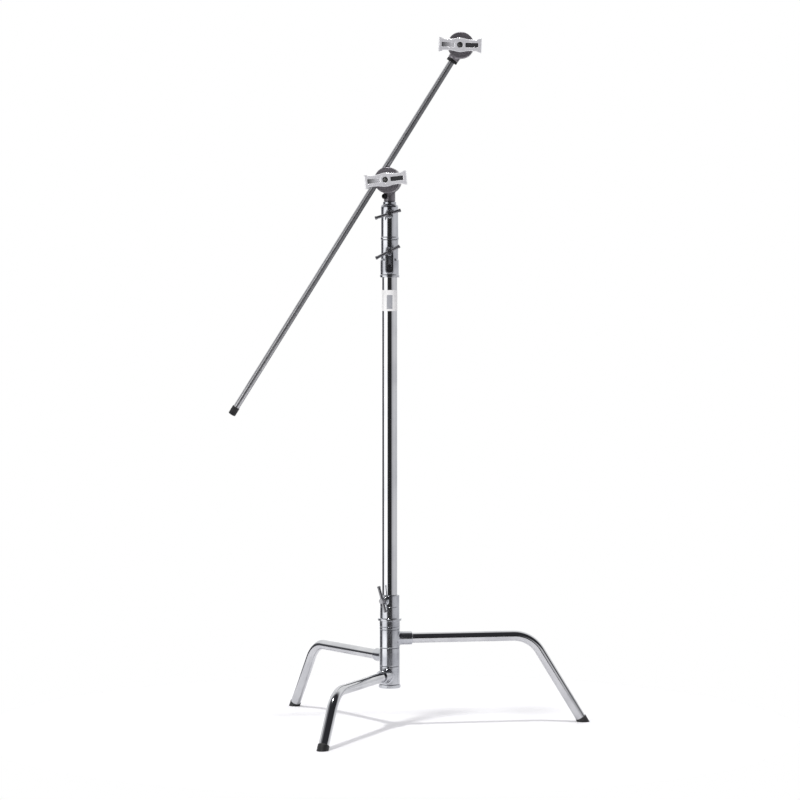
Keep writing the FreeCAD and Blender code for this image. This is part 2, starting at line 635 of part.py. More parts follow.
def head_body(name, node, stem_end, placement, screw_turn=None):
    """Casting with a round back disc and a socketed stem, and the bolt hole through both."""
    disc = turned(name + "_disc", (
        ("0", "disc_back"), ("jaw_od - 4", "disc_back"), ("jaw_od", "disc_back + 2"),
        ("jaw_od", "disc_front - 0.6"), ("jaw_od - 1.2", "disc_front"), ("0", "disc_front")))
    stem_foot = ("0", "-(%s)" % stem_end, "0")
    stem = cylinder(name + "_stem", "stem_od", "%s + stem_high" % stem_end, stem_foot, BACK)
    seat = cylinder(name + "_bolt_seat", "bolt_seat_od", "stem_od / 2",
                    ("0", "0", "-stem_od / 2 - bolt_seat_rise"))
    socket = cylinder(name + "_socket", "pin_od + slide_play", "%s - stem_bore_end" % stem_end,
                      stem_foot, BACK)
    bolt_hole = cylinder(name + "_bolt_hole", "bolt_od + 0.1", "stem_od * 3", ("0", "0", "-stem_od"))
    tools = [socket, bolt_hole]
    if screw_turn is not None:
        side = radial(90 + screw_turn)
        drill = cylinder(name + "_screw_hole", "pin_screw_od + 0.12", "stem_od",
                         ("0", "-pin_screw_drop", "0"), FreeCAD.Vector(-side.x, 0, side.y))
        tools.append(drill)
    subpart(cut(name + "_body", fuse(name + "_blank", disc, stem, seat), *tools), node, placement)


def clamp_bolt(name, node, placement):
    """Hexagon-headed bolt from behind the stem to inside the tee handle."""
    back = "-stem_od / 2 - bolt_seat_rise"
    shank = cylinder(name + "_shank", "bolt_od", "bolt_end - (%s)" % back, ("0", "0", back))
    hexagon = doc.addObject("Part::Prism", name + "_hexagon")
    bind(hexagon, Circumradius="bolt_head_radius", Height="bolt_head_thickness")
    place(hexagon, ("0", "0", back + " - bolt_head_thickness"))
    subpart(fuse(name, shank, hexagon), node, placement)


def jaw(name, node, outer, placement):
    """Round jaw with four rod grooves across the face that looks at the other jaw.

    The outer jaw is in front of the rod and the inner one behind it. The grooves make a square
    round the bolt: 5/8 and 1/2 inch opposite, 3/8 and 1/4 inch opposite.
    """
    hole = "bolt_od + 0.16"
    if outer:
        face = "rod_place + jaw_gap / 2"
        back = face + " + jaw_thickness"
        section = (
            (hole, face), ("jaw_od - 1.6", face), ("jaw_od", face + " + 0.8"),
            ("jaw_od", back + " - 3"), ("jaw_od - 6", back), (hole, back))
    else:
        face = "rod_place - jaw_gap / 2"
        back = face + " - jaw_thickness"
        section = (
            (hole, back), ("jaw_od - 1.6", back), ("jaw_od", back + " + 0.8"),
            ("jaw_od", face + " - 0.8"), ("jaw_od - 1.6", face), (hole, face))
    blank = turned(name + "_blank", section)
    reach = "jaw_od * 2"
    groove_list = (
        ("_groove_wide", "groove_wide", ("-jaw_od", "rod_offset", "rod_place"), SIDE),
        ("_groove_half", "groove_half", ("-jaw_od", "-rod_offset", "rod_place"), SIDE),
        ("_groove_third", "groove_third", ("rod_offset", "-jaw_od", "rod_place"), BACK),
        ("_groove_small", "groove_small", ("-rod_offset", "-jaw_od", "rod_place"), BACK))
    grooves = [cylinder(name + label, across, reach, base, axis)
               for label, across, base, axis in groove_list]
    subpart(cut(name, blank, *grooves), node, placement)


def tee_handle(name, node, placement):
    """Cast handle: a dog-bone plate with channelled wings, flared tips and a round hub behind."""
    body = doc.addObject("PartDesign::Body", name)
    quarter = (
        ("10", "handle_hub - 1.6"), ("20", "handle_arm + 0.2"), ("30", "handle_arm"),
        ("handle_reach - 10", "handle_arm + 0.3"), ("handle_reach - 6", "handle_tip - 1.6"),
        ("handle_reach - 3.5", "handle_tip"), ("handle_reach", "handle_tip - 0.8"))
    right = [("0", "handle_hub")] + list(quarter)
    lower = [(x, "-(%s)" % y) for x, y in reversed(quarter)] + [("0", "-handle_hub")]
    left = [("-(%s)" % x, "-(%s)" % y) for x, y in quarter]
    upper = [("-(%s)" % x, y) for x, y in reversed(quarter)]
    corners = right + lower + left + upper
    plate_sketch = outline(body, name + "_plate_outline", "XY_Plane", corners, "handle_web")
    plate = body.newObject("PartDesign::Pad", name + "_plate")
    plate.Profile = plate_sketch
    bind(plate, Length="handle_front - handle_web")
    hub_circle = (("washer_od", "0", "0"),)
    hub_sketch = circle_sketch(body, name + "_hub_circle", "XY_Plane", hub_circle, "handle_back")
    hub = body.newObject("PartDesign::Pad", name + "_hub")
    hub.Profile = hub_sketch
    bind(hub, Length="handle_front - handle_back - handle_hub_drop")
    doc.recompute()
    full = body.Shape.Volume
    channel_end = "(handle_reach - channel_margin)"
    for label, side in (("_left_channel", "-"), ("_right_channel", "")):
        corners = [(side + x, y) for x, y in (
            ("channel_start", "-channel_half"), (channel_end, "-channel_half_tip"),
            (channel_end, "channel_half_tip"), ("channel_start", "channel_half"))]
        channel = outline(body, name + label, "XY_Plane", corners, "handle_front")
        pocket = body.newObject("PartDesign::Pocket", channel.Name + "_pocket")
        pocket.Profile = channel
        bind(pocket, Length="handle_channel")
    bores = (("_mouth", "handle_mouth_od", "handle_front", "handle_mouth"),
             ("_bore", "bolt_od + 0.16", "handle_front", "handle_front - handle_back + 1"))
    for label, across, lift, deep in bores:
        mouth = circle_sketch(body, name + label + "_circle", "XY_Plane", ((across, "0", "0"),), lift)
        pocket = body.newObject("PartDesign::Pocket", name + label)
        pocket.Profile = mouth
        bind(pocket, Length=deep)
    doc.recompute()
    least_cut = 2 * value("handle_channel * channel_half * (handle_reach - channel_start)")
    if body.Shape.Volume > full - least_cut:
        raise RuntimeError(name + ": the channels or the bore cut nothing")
    subpart(body, node, placement)


def handle_nut(name, node, placement):
    """Hexagon nut seated in the handle's mouth, round the end of the bolt."""
    hexagon = doc.addObject("Part::Prism", name + "_hexagon")
    bind(hexagon, Circumradius="handle_nut / 2", Height="handle_nut_thickness")
    seat = ("0", "0", "handle_front - handle_mouth")
    place(hexagon, seat)
    hole = cylinder(name + "_hole", "bolt_od + 0.16", "handle_mouth", seat)
    subpart(cut(name, hexagon, hole), node, placement)


def build_head(name, stem_end, placement, groove_angle, handle_angle, screw_turn=None):
    """A whole grip head: casting, bolt, two jaws, washer, tee handle and its nut."""
    grooves = spin(placement, groove_angle)
    handle = spin(placement, handle_angle)
    head_body(name, name + "_body", stem_end, placement, screw_turn)
    clamp_bolt(name + "_clamp_bolt", name + "_bolt", placement)
    jaw(name + "_jaw_in", name + "_inner_jaw", False, grooves)
    jaw(name + "_jaw_out", name + "_outer_jaw", True, grooves)
    washer = ring(name + "_disc_spring", "washer_od", "bolt_od + 0.3",
                  "rod_place + jaw_gap / 2 + jaw_thickness",
                  "rod_place + jaw_gap / 2 + jaw_thickness + washer_thickness")
    subpart(washer, name + "_washer", placement)
    tee_handle(name + "_tee", name + "_t_handle", handle)
    handle_nut(name + "_tee_nut", name + "_handle_nut", handle)


def build_pin_screw(placement):
    """Socket-head screw through the stem that bears on the waist of the pin."""
    side = radial(90 + PIN_SCREW_TURN)
    outward = FreeCAD.Vector(-side.x, 0, side.y)
    parts = (("_shank", "pin_screw_od", "pin_od / 2 + 0.3", "stem_od / 2 + 1"),
             ("_head", "pin_screw_head", "stem_od / 2 + 0.5",
              "stem_od / 2 + 0.5 + pin_screw_head_length"))
    made = []
    for label, across, start, end in parts:
        item = doc.addObject("Part::Cylinder", "pin_screw" + label)
        bind(item, Radius="(%s) / 2" % across, Height="(%s) - (%s)" % (end, start))
        spot = outward * value(start) - BACK * value("pin_screw_drop")
        item.Placement = FreeCAD.Placement(spot, FreeCAD.Rotation(UP, outward))
        made.append(item)
    socket = doc.addObject("Part::Prism", "pin_screw_socket")
    bind(socket, Circumradius="pin_screw_socket", Height="pin_screw_head_length")
    spot = outward * value("stem_od / 2 + 3.2") - BACK * value("pin_screw_drop")
    socket.Placement = FreeCAD.Placement(spot, FreeCAD.Rotation(UP, outward))
    subpart(cut("pin_screw", fuse("pin_screw_blank", *made), socket), "head_pin_screw", placement)


def build_arm(along, foot, head):
    """Arm rod through the jaws, with an end cap, a ring and the second head at its top."""
    arm = frame_of(foot, along, head.Rotation.multVec(UP))
    rod = ring("arm_tube", "rod_od", "rod_id", "-rod_low", "rod_high")
    subpart(rod, "arm_rod", arm)
    cap_end = "-rod_low - arm_cap_wall"
    cap_mouth = cap_end + " + arm_cap_length"
    cap = turned("arm_cap", (
        ("0", cap_end), ("arm_cap_od - 3", cap_end), ("arm_cap_od", cap_end + " + 1.5"),
        ("arm_cap_od", cap_mouth), ("rod_od + 0.04", cap_mouth),
        ("rod_od + 0.04", "-rod_low"), ("0", "-rod_low")))
    subpart(cap, "arm_end_cap", arm)
    ring_low = "arm_head - stem_short - arm_ring_length"
    ring_high = "arm_head - stem_short - 0.2"
    band = turned("arm_band", (
        ("rod_od + 0.04", ring_low), ("arm_ring_od - 2", ring_low),
        ("arm_ring_od", ring_low + " + 1"), ("arm_ring_od", ring_high),
        ("rod_od + 0.04", ring_high)))
    subpart(band, "arm_ring", arm)
    front = FreeCAD.Rotation(along, ARM_HEAD_ROLL).multVec(head.Rotation.multVec(UP))
    second = frame_of(foot + along * value("arm_head"), front, along)
    build_head("arm_head", "stem_short", second, 0.0, HANDLE_TILTS["arm_head"] + 90 - ARM_PITCH)


def export():
    """Stop on any failed object or bad shape, then write one STEP file for each sub-part."""
    doc.recompute()
    for item in doc.Objects:
        if "Invalid" in item.State or "Error" in item.State:
            raise RuntimeError("%s: %s" % (item.Label, item.State))
    os.makedirs("parts", exist_ok=True)
    for item in SUBPARTS:
        shape = item.Shape
        if shape.isNull() or not shape.isValid() or not shape.Solids:
            raise RuntimeError(item.Label + ": no valid solid")
        shape.exportStep("parts/%s.step" % item.Label)


build_base()
for level, leg in enumerate(LEG_ORDER):
    build_leg(leg, level)
build_column()
build_riser()
build_top_riser()
arm_direction, arm_foot, mast_head = arm_line()
build_head("head", "stem_low", mast_head, ARM_PITCH, HANDLE_TILTS["head"], PIN_SCREW_TURN)
build_pin_screw(mast_head)
build_arm(arm_direction, arm_foot, mast_head)
export()
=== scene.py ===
"""A studio stand with folding legs, sliding risers, a grip head and a long arm.

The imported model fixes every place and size. This script gives each of its parts a finished
surface and a finish, and stands the whole on a pale studio floor.
Lengths are millimetres until a mesh is made, and metres in Blender.
"""

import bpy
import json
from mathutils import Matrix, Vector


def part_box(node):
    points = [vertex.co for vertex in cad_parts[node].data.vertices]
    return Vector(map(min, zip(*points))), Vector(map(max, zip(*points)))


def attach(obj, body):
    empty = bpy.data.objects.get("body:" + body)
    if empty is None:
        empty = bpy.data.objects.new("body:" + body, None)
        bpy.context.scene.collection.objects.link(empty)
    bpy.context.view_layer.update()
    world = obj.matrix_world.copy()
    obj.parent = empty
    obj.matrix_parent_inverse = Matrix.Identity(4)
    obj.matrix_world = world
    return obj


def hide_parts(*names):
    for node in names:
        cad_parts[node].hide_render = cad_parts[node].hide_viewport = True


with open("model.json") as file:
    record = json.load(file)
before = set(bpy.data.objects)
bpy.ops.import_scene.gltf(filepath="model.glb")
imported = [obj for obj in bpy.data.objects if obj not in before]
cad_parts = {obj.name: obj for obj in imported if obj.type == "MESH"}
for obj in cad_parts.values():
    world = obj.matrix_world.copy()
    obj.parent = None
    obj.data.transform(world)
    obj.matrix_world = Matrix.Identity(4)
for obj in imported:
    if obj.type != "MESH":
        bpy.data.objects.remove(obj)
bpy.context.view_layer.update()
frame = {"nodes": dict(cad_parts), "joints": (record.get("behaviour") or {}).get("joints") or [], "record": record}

import json
import logging
import math
from dataclasses import dataclass, field, replace
from enum import Enum
from typing import Callable, Optional, Sequence

import bmesh
import bpy
import numpy as np
from mathutils import Matrix

Array = np.ndarray
Colour = tuple[float, float, float]
Corner = tuple[float, float, float]
Distance = Callable[[Array], Array]

log = logging.getLogger("stand")
METRE = 1000.0
RECORD = frame["record"]
BODY_OF = {node: body for body, nodes in RECORD["behaviour"]["bodies"].items() for node in nodes}
JOINTS = {joint["name"]: joint for joint in frame["joints"]}
MOUNTS = {mount["name"]: mount for mount in RECORD["mounts"]}
UPWARD = np.array((0.0, 0.0, 1.0))
BACKWARD = np.array((0.0, 1.0, 0.0))
ROUND_STEPS = 6
FINE_STEPS = 128
HOLD = 0.5
RUNNING_FIT = 0.12
HEAD_SPACING = 369.0


def placed(name: str, data: bpy.types.ID) -> bpy.types.Object:
    """A new object in the scene, made from a mesh, lamp or camera."""
    made = bpy.data.objects.new(name, data)
    bpy.context.scene.collection.objects.link(made)
    return made


# ---------------------------------------------------------------- places
def unit(vector: Array) -> Array:
    """A vector cut to length one."""
    return np.asarray(vector, float) / np.linalg.norm(vector)


@dataclass(frozen=True)
class Basis:
    """Right-handed axes on a point, in millimetres: x along side, y along up, z along out."""

    place: Array
    side: Array
    up: Array
    out: Array

    @classmethod
    def facing(cls, place: Array, out: Array, up: Array) -> "Basis":
        """Axes on a point that look along out, with up made square to it.

        Args:
            place: The origin.
            out: The direction that z takes.
            up: A direction near to the one that y takes.

        Returns:
            The axes.
        """
        forward = unit(out)
        above = unit(np.asarray(up, float) - forward * np.dot(up, forward))
        return cls(np.asarray(place, float), np.cross(above, forward), above, forward)

    @classmethod
    def of_joint(cls, name: str, up: Array = UPWARD) -> "Basis":
        """Axes on a joint, with z along the joint's axis."""
        joint = JOINTS[name]
        return cls.facing(np.array(joint["pos_m"]) * METRE, joint["axis"], up)

    @property
    def axes(self) -> Array:
        """The three directions as rows."""
        return np.stack((self.side, self.up, self.out))

    def world(self, local: Array) -> Array:
        """Points given on these axes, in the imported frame."""
        return self.place + local @ self.axes

    def local(self, world: Array) -> Array:
        """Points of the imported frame, on these axes."""
        return (world - self.place) @ self.axes.T

    def spun(self, degrees: float) -> "Basis":
        """The same axes turned about z."""
        angle = math.radians(degrees)
        side = self.side * math.cos(angle) + self.up * math.sin(angle)
        return Basis(self.place, side, np.cross(self.out, side), self.out)

    def along(self, degrees: float, lift: float) -> "Basis":
        """Axes a way along z whose own z lies across, at an angle from side towards up."""
        turned = self.spun(degrees)
        return Basis.facing(self.place + self.out * lift, turned.side, self.out)


MAST = Basis.facing(np.zeros(3), UPWARD, BACKWARD)


@dataclass(frozen=True)
class Span:
    """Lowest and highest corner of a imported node, in millimetres."""

    low: Array
    high: Array

    @classmethod
    def of(cls, node: str) -> "Span":
        """The span of one node at rest."""
        low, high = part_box(node)
        return cls(np.array(low) * METRE, np.array(high) * METRE)

    @property
    def bottom(self) -> float:
        """Height of the lowest point."""
        return float(self.low[2])

    @property
    def top(self) -> float:
        """Height of the highest point."""
        return float(self.high[2])

    @property
    def across(self) -> float:
        """Width along X, which is the diameter of a turned part on the mast."""
        return float(self.high[0] - self.low[0])


# ---------------------------------------------------------------- shader maths
def grey(level: float, blue: float = 0.0) -> Colour:
    """A grey with a little more blue than red and green."""
    return level, level, level + blue


def operator(operation: str, reflected: bool = False) -> Callable[["Socket", "Value"], "Socket"]:
    """An arithmetic method that adds one Math node, with its operands swapped where reflected."""

    def method(self: "Socket", other: "Value") -> "Socket":
        """Add the node."""
        first, second = (other, self) if reflected else (self, other)
        return self.graph.node("Math", {"operation": operation}, {0: first, 1: second})

    return method


class Socket:
    """A shader socket whose arithmetic adds Math nodes to its tree."""

    __add__, __radd__ = operator("ADD"), operator("ADD", reflected=True)
    __sub__, __rsub__ = operator("SUBTRACT"), operator("SUBTRACT", reflected=True)
    __mul__, __rmul__ = operator("MULTIPLY"), operator("MULTIPLY", reflected=True)

    def __init__(self, graph: "Graph", output: Optional[bpy.types.NodeSocket]) -> None:
        """Wrap one output of a node."""
        self.graph = graph
        self.output = output

    def size(self) -> "Socket":
        """Absolute value."""
        return self.graph.node("Math", {"operation": "ABSOLUTE"}, {0: self})

    def step(self, start: float, end: float) -> "Socket":
        """Smooth rise from 0 at start to 1 at end; it falls where end is below start."""
        low, high = min(start, end), max(start, end)
        rise = self.graph.node(
            "MapRange", {"interpolation_type": "SMOOTHSTEP"},
            {"Value": self, "From Min": low, "From Max": high})
        return rise if end > start else 1.0 - rise


Value = float | Socket


class Graph:
    """Nodes of one material or world."""

    def __init__(self, tree: bpy.types.NodeTree) -> None:
        """Start on an empty tree."""
        self.tree = tree
        tree.nodes.clear()

    def node(self, kind: str, settings: Optional[dict] = None, inputs: Optional[dict] = None,
             output: int | str = 0) -> Socket:
        """Add a node.

        Args:
            kind: The node's type, less its ShaderNode prefix.
            settings: Its own settings; "stops" holds a ramp's (place, colour) pairs.
            inputs: Values or sockets by input name or number.
            output: The output to return.

        Returns:
            The chosen output.
        """
        made = self.tree.nodes.new("ShaderNode" + kind)
        for name, setting in (settings or {}).items():
            if name == "stops":
                self._set_stops(made.color_ramp, setting)
            else:
                setattr(made, name, setting)
        for name, given in (inputs or {}).items():
            if isinstance(given, Socket):
                self.tree.links.new(given.output, made.inputs[name])
            else:
                made.inputs[name].default_value = given
        return Socket(self, made.outputs[output] if made.outputs else None)

    @staticmethod
    def _set_stops(ramp: bpy.types.ColorRamp, stops: Sequence[tuple[float, Colour]]) -> None:
        """Give a colour ramp its stops."""
        while len(ramp.elements) < len(stops):
            ramp.elements.new(1.0)
        for element, (place, colour) in zip(ramp.elements, stops):
            element.position = place
            element.color = (*colour, 1.0)

    def mix(self, factor: Value, first: Socket | Colour, second: Socket | Colour) -> Socket:
        """Colour between two colours."""
        ends = [end if isinstance(end, Socket) else (*end, 1.0) for end in (first, second)]
        return self.node("Mix", {"data_type": "RGBA"},
                         {"Factor": factor, 6: ends[0], 7: ends[1]}, 2)

    def where(self, output: str = "Object") -> Socket:
        """Where a point lies on its piece, or on the sky for the output Generated."""
        return self.node("TexCoord", output=output)

    def wrapped(self) -> Socket:
        """The piece's own map, in metres round it and along it."""
        return self.node("UVMap", {"uv_map": "Surface"})

    def part(self, vector: Socket, axis: str) -> Socket:
        """The X, Y or Z of a vector."""
        return self.node("SeparateXYZ", {}, {"Vector": vector}, axis)

    def noise(self, where: Socket, scale: float, detail: float) -> Socket:
        """Soft noise between 0 and 1."""
        return self.node("TexNoise", {}, {"Vector": where, "Scale": scale, "Detail": detail})

    def stretched(self, where: Socket, scale: Colour) -> Socket:
        """Coordinates scaled by a different amount each way."""
        return self.node("Mapping", {}, {"Vector": where, "Scale": scale})

    def raised(self, height: Socket, strength: float, depth: float) -> Socket:
        """Normal of a surface with a relief, whose full depth is in metres."""
        return self.node("Bump", {},
                         {"Height": height, "Strength": strength, "Distance": depth})


class Grain(Enum):
    """How a metal's surface marks lie: lines per metre round a piece and along it."""

    CAST = None
    DRAWN = (900.0, 9.0, 1.0)
    TURNED = (14.0, 2600.0, 1.0)


class Finish:
    """A surface finish that makes its material once and dresses pieces in it."""

    name: str
    wear: str = ""

    def material(self) -> bpy.types.Material:
        """The finish's material, made at its first use."""
        title = self.name + self.wear + "_finish"
        made = bpy.data.materials.get(title)
        if made is None:
            made = bpy.data.materials.new(title)
            made.use_nodes = True
            graph = Graph(made.node_tree)
            surface = graph.node("BsdfPrincipled", {}, self.surface(graph))
            graph.node("OutputMaterial", {}, {"Surface": surface})
        return made

    def surface(self, graph: Graph) -> dict:
        """Inputs of the finish's shader."""
        raise NotImplementedError

    def dress(self, piece: bpy.types.Object) -> None:
        """Give a piece this finish alone."""
        piece.data.materials.clear()
        piece.data.materials.append(self.material())


@dataclass(frozen=True)
class Plate(Finish):
    """Plated or bare metal, with painted shade where a piece's recess mask attribute is 1: near-black mixed into
    its colour.

    Colour = mix(bright, dull, cloud); roughness = polish + haze * cloud + marks * lines.
    """

    name: str
    bright: Colour
    dull: Colour
    polish: float
    haze: float
    marks: float
    relief: float
    grain: Grain = Grain.CAST
    pebble: float = 420.0
    metal: float = 1.0
    # strength of the painted shade, near-black mixed into the colour in recesses
    painted_shade: float = 0.0
    wear: str = ""

    def surface(self, graph: Graph) -> dict:
        """Metal with a drifting tint, handled patches, the marks of its making and, where set, painted shade in
        recesses.
        """
        where = graph.where()
        cloud = graph.noise(where, 14.0, 5.0).step(0.38, 0.68)
        pebbles = graph.noise(where, self.pebble, 2.0)
        lines = pebbles
        if self.grain is not Grain.CAST:
            lines = graph.noise(graph.stretched(graph.wrapped(), self.grain.value), 1.0, 2.0)
        colour = graph.mix(cloud, self.bright, self.dull)
        # Painted shade: near-black mixed into the colour by the recess mask, in place of the shade that falls in
        # deep recesses.
        if self.painted_shade:
            recess_shade = graph.node("Attribute", {"attribute_name": "recess_shade"}, output="Fac")
            colour = graph.mix(recess_shade * self.painted_shade, colour, grey(0.01, 0.001))
        return {
            "Base Color": colour,
            "Metallic": self.metal,
            "Roughness": self.polish + self.haze * cloud + self.marks * lines.step(0.35, 0.7),
            "Normal": graph.raised(pebbles + lines * 0.5, self.relief, 0.0002)}


@dataclass(frozen=True)
class Rubber(Finish):
    """Black moulded rubber with a dusty bloom.

    Colour = mix(black, dust, patches); roughness = 0.5 + 0.3 * patches.
    """

    name: str
    black: Colour = grey(0.012, 0.001)
    dust: Colour = (0.045, 0.044, 0.043)

    def surface(self, graph: Graph) -> dict:
        """Rubber's shader inputs."""
        where = graph.where()
        patches = graph.noise(where, 60.0, 6.0).step(0.45, 0.75)
        pores = graph.noise(where, 1500.0, 2.0)
        return {
            "Base Color": graph.mix(patches, self.black, self.dust),
            "Roughness": 0.5 + 0.3 * patches,
            "Specular IOR Level": 0.4,
            "Normal": graph.raised(pores, 0.35, 0.0003)}


@dataclass(frozen=True)
class Plastic(Finish):
    """Plain moulded plastic of the hidden bushes, with flow marks in its colour."""

    name: str
    pale: Colour = grey(0.065, 0.002)
    deep: Colour = grey(0.045, 0.001)

    def surface(self, graph: Graph) -> dict:
        """Plastic's shader inputs."""
        flow = graph.noise(graph.stretched(graph.where(), (40.0, 40.0, 8.0)), 1.0, 4.0)
        return {"Base Color": graph.mix(flow, self.pale, self.deep), "Roughness": 0.35 + 0.2 * flow}


@dataclass(frozen=True)
class Film(Finish):
    """Printed wrap: white with one plain grey panel on its front and a scuffed face.

    Its girth is in millimetres and its panel in metres; front is the share of the girth at which
    the map faces forwards.
    """

    name: str
    girth: float
    white: Colour = (0.86, 0.86, 0.84)
    grey: Colour = (0.36, 0.37, 0.39)
    panel_half: float = 0.007
    panel_low: float = 0.005
    panel_high: float = 0.039
    soft: float = 0.0004
    front: float = 0.75

    def surface(self, graph: Graph) -> dict:
        """Film's shader inputs."""
        flat = graph.wrapped()
        up_tube = graph.part(flat, "Y")
        aside = (graph.part(flat, "X") - self.girth * self.front / METRE).size()
        inside = aside.step(self.panel_half + self.soft, self.panel_half)
        inside = inside * up_tube.step(self.panel_low, self.panel_low + self.soft)
        inside = inside * up_tube.step(self.panel_high + self.soft, self.panel_high)
        scuffs = graph.noise(graph.where(), 130.0, 6.0).step(0.56, 0.8)
        printed = graph.mix(inside, self.white, self.grey)
        return {
            "Base Color": graph.mix(scuffs * 0.35, printed, (0.6, 0.58, 0.54)),
            "Roughness": 0.28 + 0.3 * scuffs}


@dataclass(frozen=True)
class Paper(Finish):
    """Matt white paper with a faint fibre."""

    name: str
    white: Colour = grey(0.9)
    fibre: Colour = grey(0.88)

    def surface(self, graph: Graph) -> dict:
        """Paper's shader inputs."""
        fibres = graph.noise(graph.where(), 3.0, 4.0)
        return {"Base Color": graph.mix(fibres * 0.25, self.white, self.fibre), "Roughness": 0.7}


CHROME_TUBE = Plate("chrome_tube", bright=(0.58, 0.585, 0.6), dull=(0.5, 0.505, 0.525),
                    polish=0.055, haze=0.05, marks=0.03, relief=0.012, grain=Grain.DRAWN)
CHROME_WORN = replace(CHROME_TUBE, bright=grey(0.54, 0.015), dull=grey(0.44, 0.015),
                      polish=0.24, marks=0.08, wear="_worn")
CHROME_CAST = Plate("chrome_cast", bright=(0.52, 0.53, 0.555), dull=(0.36, 0.37, 0.4),
                    polish=0.13, haze=0.09, marks=0.05, relief=0.05, grain=Grain.TURNED)
HEAD_CAST = Plate("head_cast", bright=(0.29, 0.272, 0.295), dull=(0.17, 0.16, 0.175),
                  polish=0.27, haze=0.1, marks=0.08, relief=0.22, pebble=700.0, metal=0.75)
# Handle casting: its last setting is the strength of the painted shade, near-black in its mouth and channels.
HANDLE_CAST = Plate("handle_cast", bright=grey(0.86, 0.01), dull=grey(0.72, 0.02),
                    polish=0.2, haze=0.08, marks=0.05, relief=0.14, pebble=600.0, metal=0.4,
                    painted_shade=0.92)
LOCK_STEEL = Plate("lock_steel", bright=grey(0.34, 0.02), dull=grey(0.24, 0.015),
                   polish=0.26, haze=0.1, marks=0.07, relief=0.05, grain=Grain.TURNED)
# Darker than bare zinc plate: partly the metal's own tone, partly painted shade for the nuts that sit deep in the
# handles' mouths; the washers and bolts share it.
ZINC_STEEL = Plate("zinc_steel", bright=(0.34, 0.335, 0.32), dull=(0.22, 0.22, 0.215),
                   polish=0.32, haze=0.12, marks=0.08, relief=0.1)
BLACK_STEEL = Plate("black_steel", bright=grey(0.05, 0.005), dull=grey(0.03, 0.002),
                    polish=0.32, haze=0.12, marks=0.08, relief=0.1)
BRASS = Plate("brake_brass", bright=(0.72, 0.55, 0.27), dull=(0.55, 0.4, 0.19),
              polish=0.25, haze=0.15, marks=0.1, relief=0.08)
RUBBER = Rubber("black_rubber")
NYLON = Plastic("bush_nylon")
PAPER = Paper("floor_paper")


# ---------------------------------------------------------------- surfaces
def circle(steps: int) -> Array:
    """Even angles once round."""
    return np.linspace(0, 2 * np.pi, steps, endpoint=False)


def is_ring(corners: Sequence[Corner]) -> bool:
    """Whether a section is a ring's; otherwise it starts and ends on the axis."""
    return corners[0][0] > 0


def rounded(corners: Sequence[Corner]) -> Array:
    """Section line with its corners rounded.

    A corner P with rounding r becomes (1-t)^2 A + 2t(1-t) P + t^2 B, where A and B lie r before
    and after it, and one more point just outside each keeps the flat beside it flat.

    Args:
        corners: (diameter, place along the axis, rounding) in order along the outside.

    Returns:
        (radius, place) of each point.
    """
    spots = np.array([(across / 2, place) for across, place, _ in corners])
    count = len(spots)
    line = []
    for index, (_, _, rounding) in enumerate(corners):
        here = spots[index]
        if rounding == 0:
            line.append(here[None])
            continue
        before, after = spots[index - 1] - here, spots[(index + 1) % count] - here
        back, ahead = np.linalg.norm(before), np.linalg.norm(after)
        size = min(rounding, 0.42 * back, 0.42 * ahead)
        start, end = here + before / back * size, here + after / ahead * size
        t = np.linspace(0, 1, ROUND_STEPS)[:, None]
        line.append((start + before / back * min(HOLD, 0.05 * back))[None])
        line.append((1 - t) ** 2 * start + 2 * t * (1 - t) * here + t ** 2 * end)
        line.append((end + after / ahead * min(HOLD, 0.05 * ahead))[None])
    return np.concatenate(line)


def lathed(basis: Basis, corners: Sequence[Corner], steps: int = 96) -> Array:
    """Turned surface: (r(s) cos a, r(s) sin a, z(s)) about the basis's z.

    Args:
        basis: Where it is turned.
        corners: Its section, up the outside.
        steps: Points round it.

    Returns:
        Grid of points, rows along the section.
    """
    radius, place = rounded(corners).T[:, :, None]
    angle = circle(steps)[None]
    local = np.stack((radius * np.cos(angle), radius * np.sin(angle), place + 0 * angle), axis=-1)
    return basis.world(local)


def tube_section(outside: float, inside: float, low: float, high: float,
                 edge: float) -> list[Corner]:
    """Section of a plain ring with small rounded edges."""
    outer = [(outside, low, edge), (outside, high, edge)]
    return [(inside, low, edge / 2), *outer, (inside, high, edge / 2)]


def scribed(across: float, place: float, depth: float) -> list[Corner]:
    """Corners of a turned line round an outside, given its depth on the diameter."""
    return [(across, place - 0.8, 0.2), (across - depth, place, 0.2), (across, place + 0.8, 0.2)]


def collar(span: Span, tube: float, riser: float, tube_top: float, outside: list[Corner]) -> Array:
    """Turned sleeve on the end of one tube, through whose top the next tube slides.

    Args:
        span: The collar's span.
        tube: Bore for the tube that it sits on.
        riser: Bore for the tube that slides.
        tube_top: Height where the first tube ends.
        outside: Its corners up the outside.

    Returns:
        Grid of points.
    """
    inside = [(riser, span.top, 0.5), (riser, tube_top, 0.2), (tube, tube_top, 0.2)]
    return lathed(MAST, [(tube, span.bottom, 0.3), *outside, *inside], steps=FINE_STEPS)


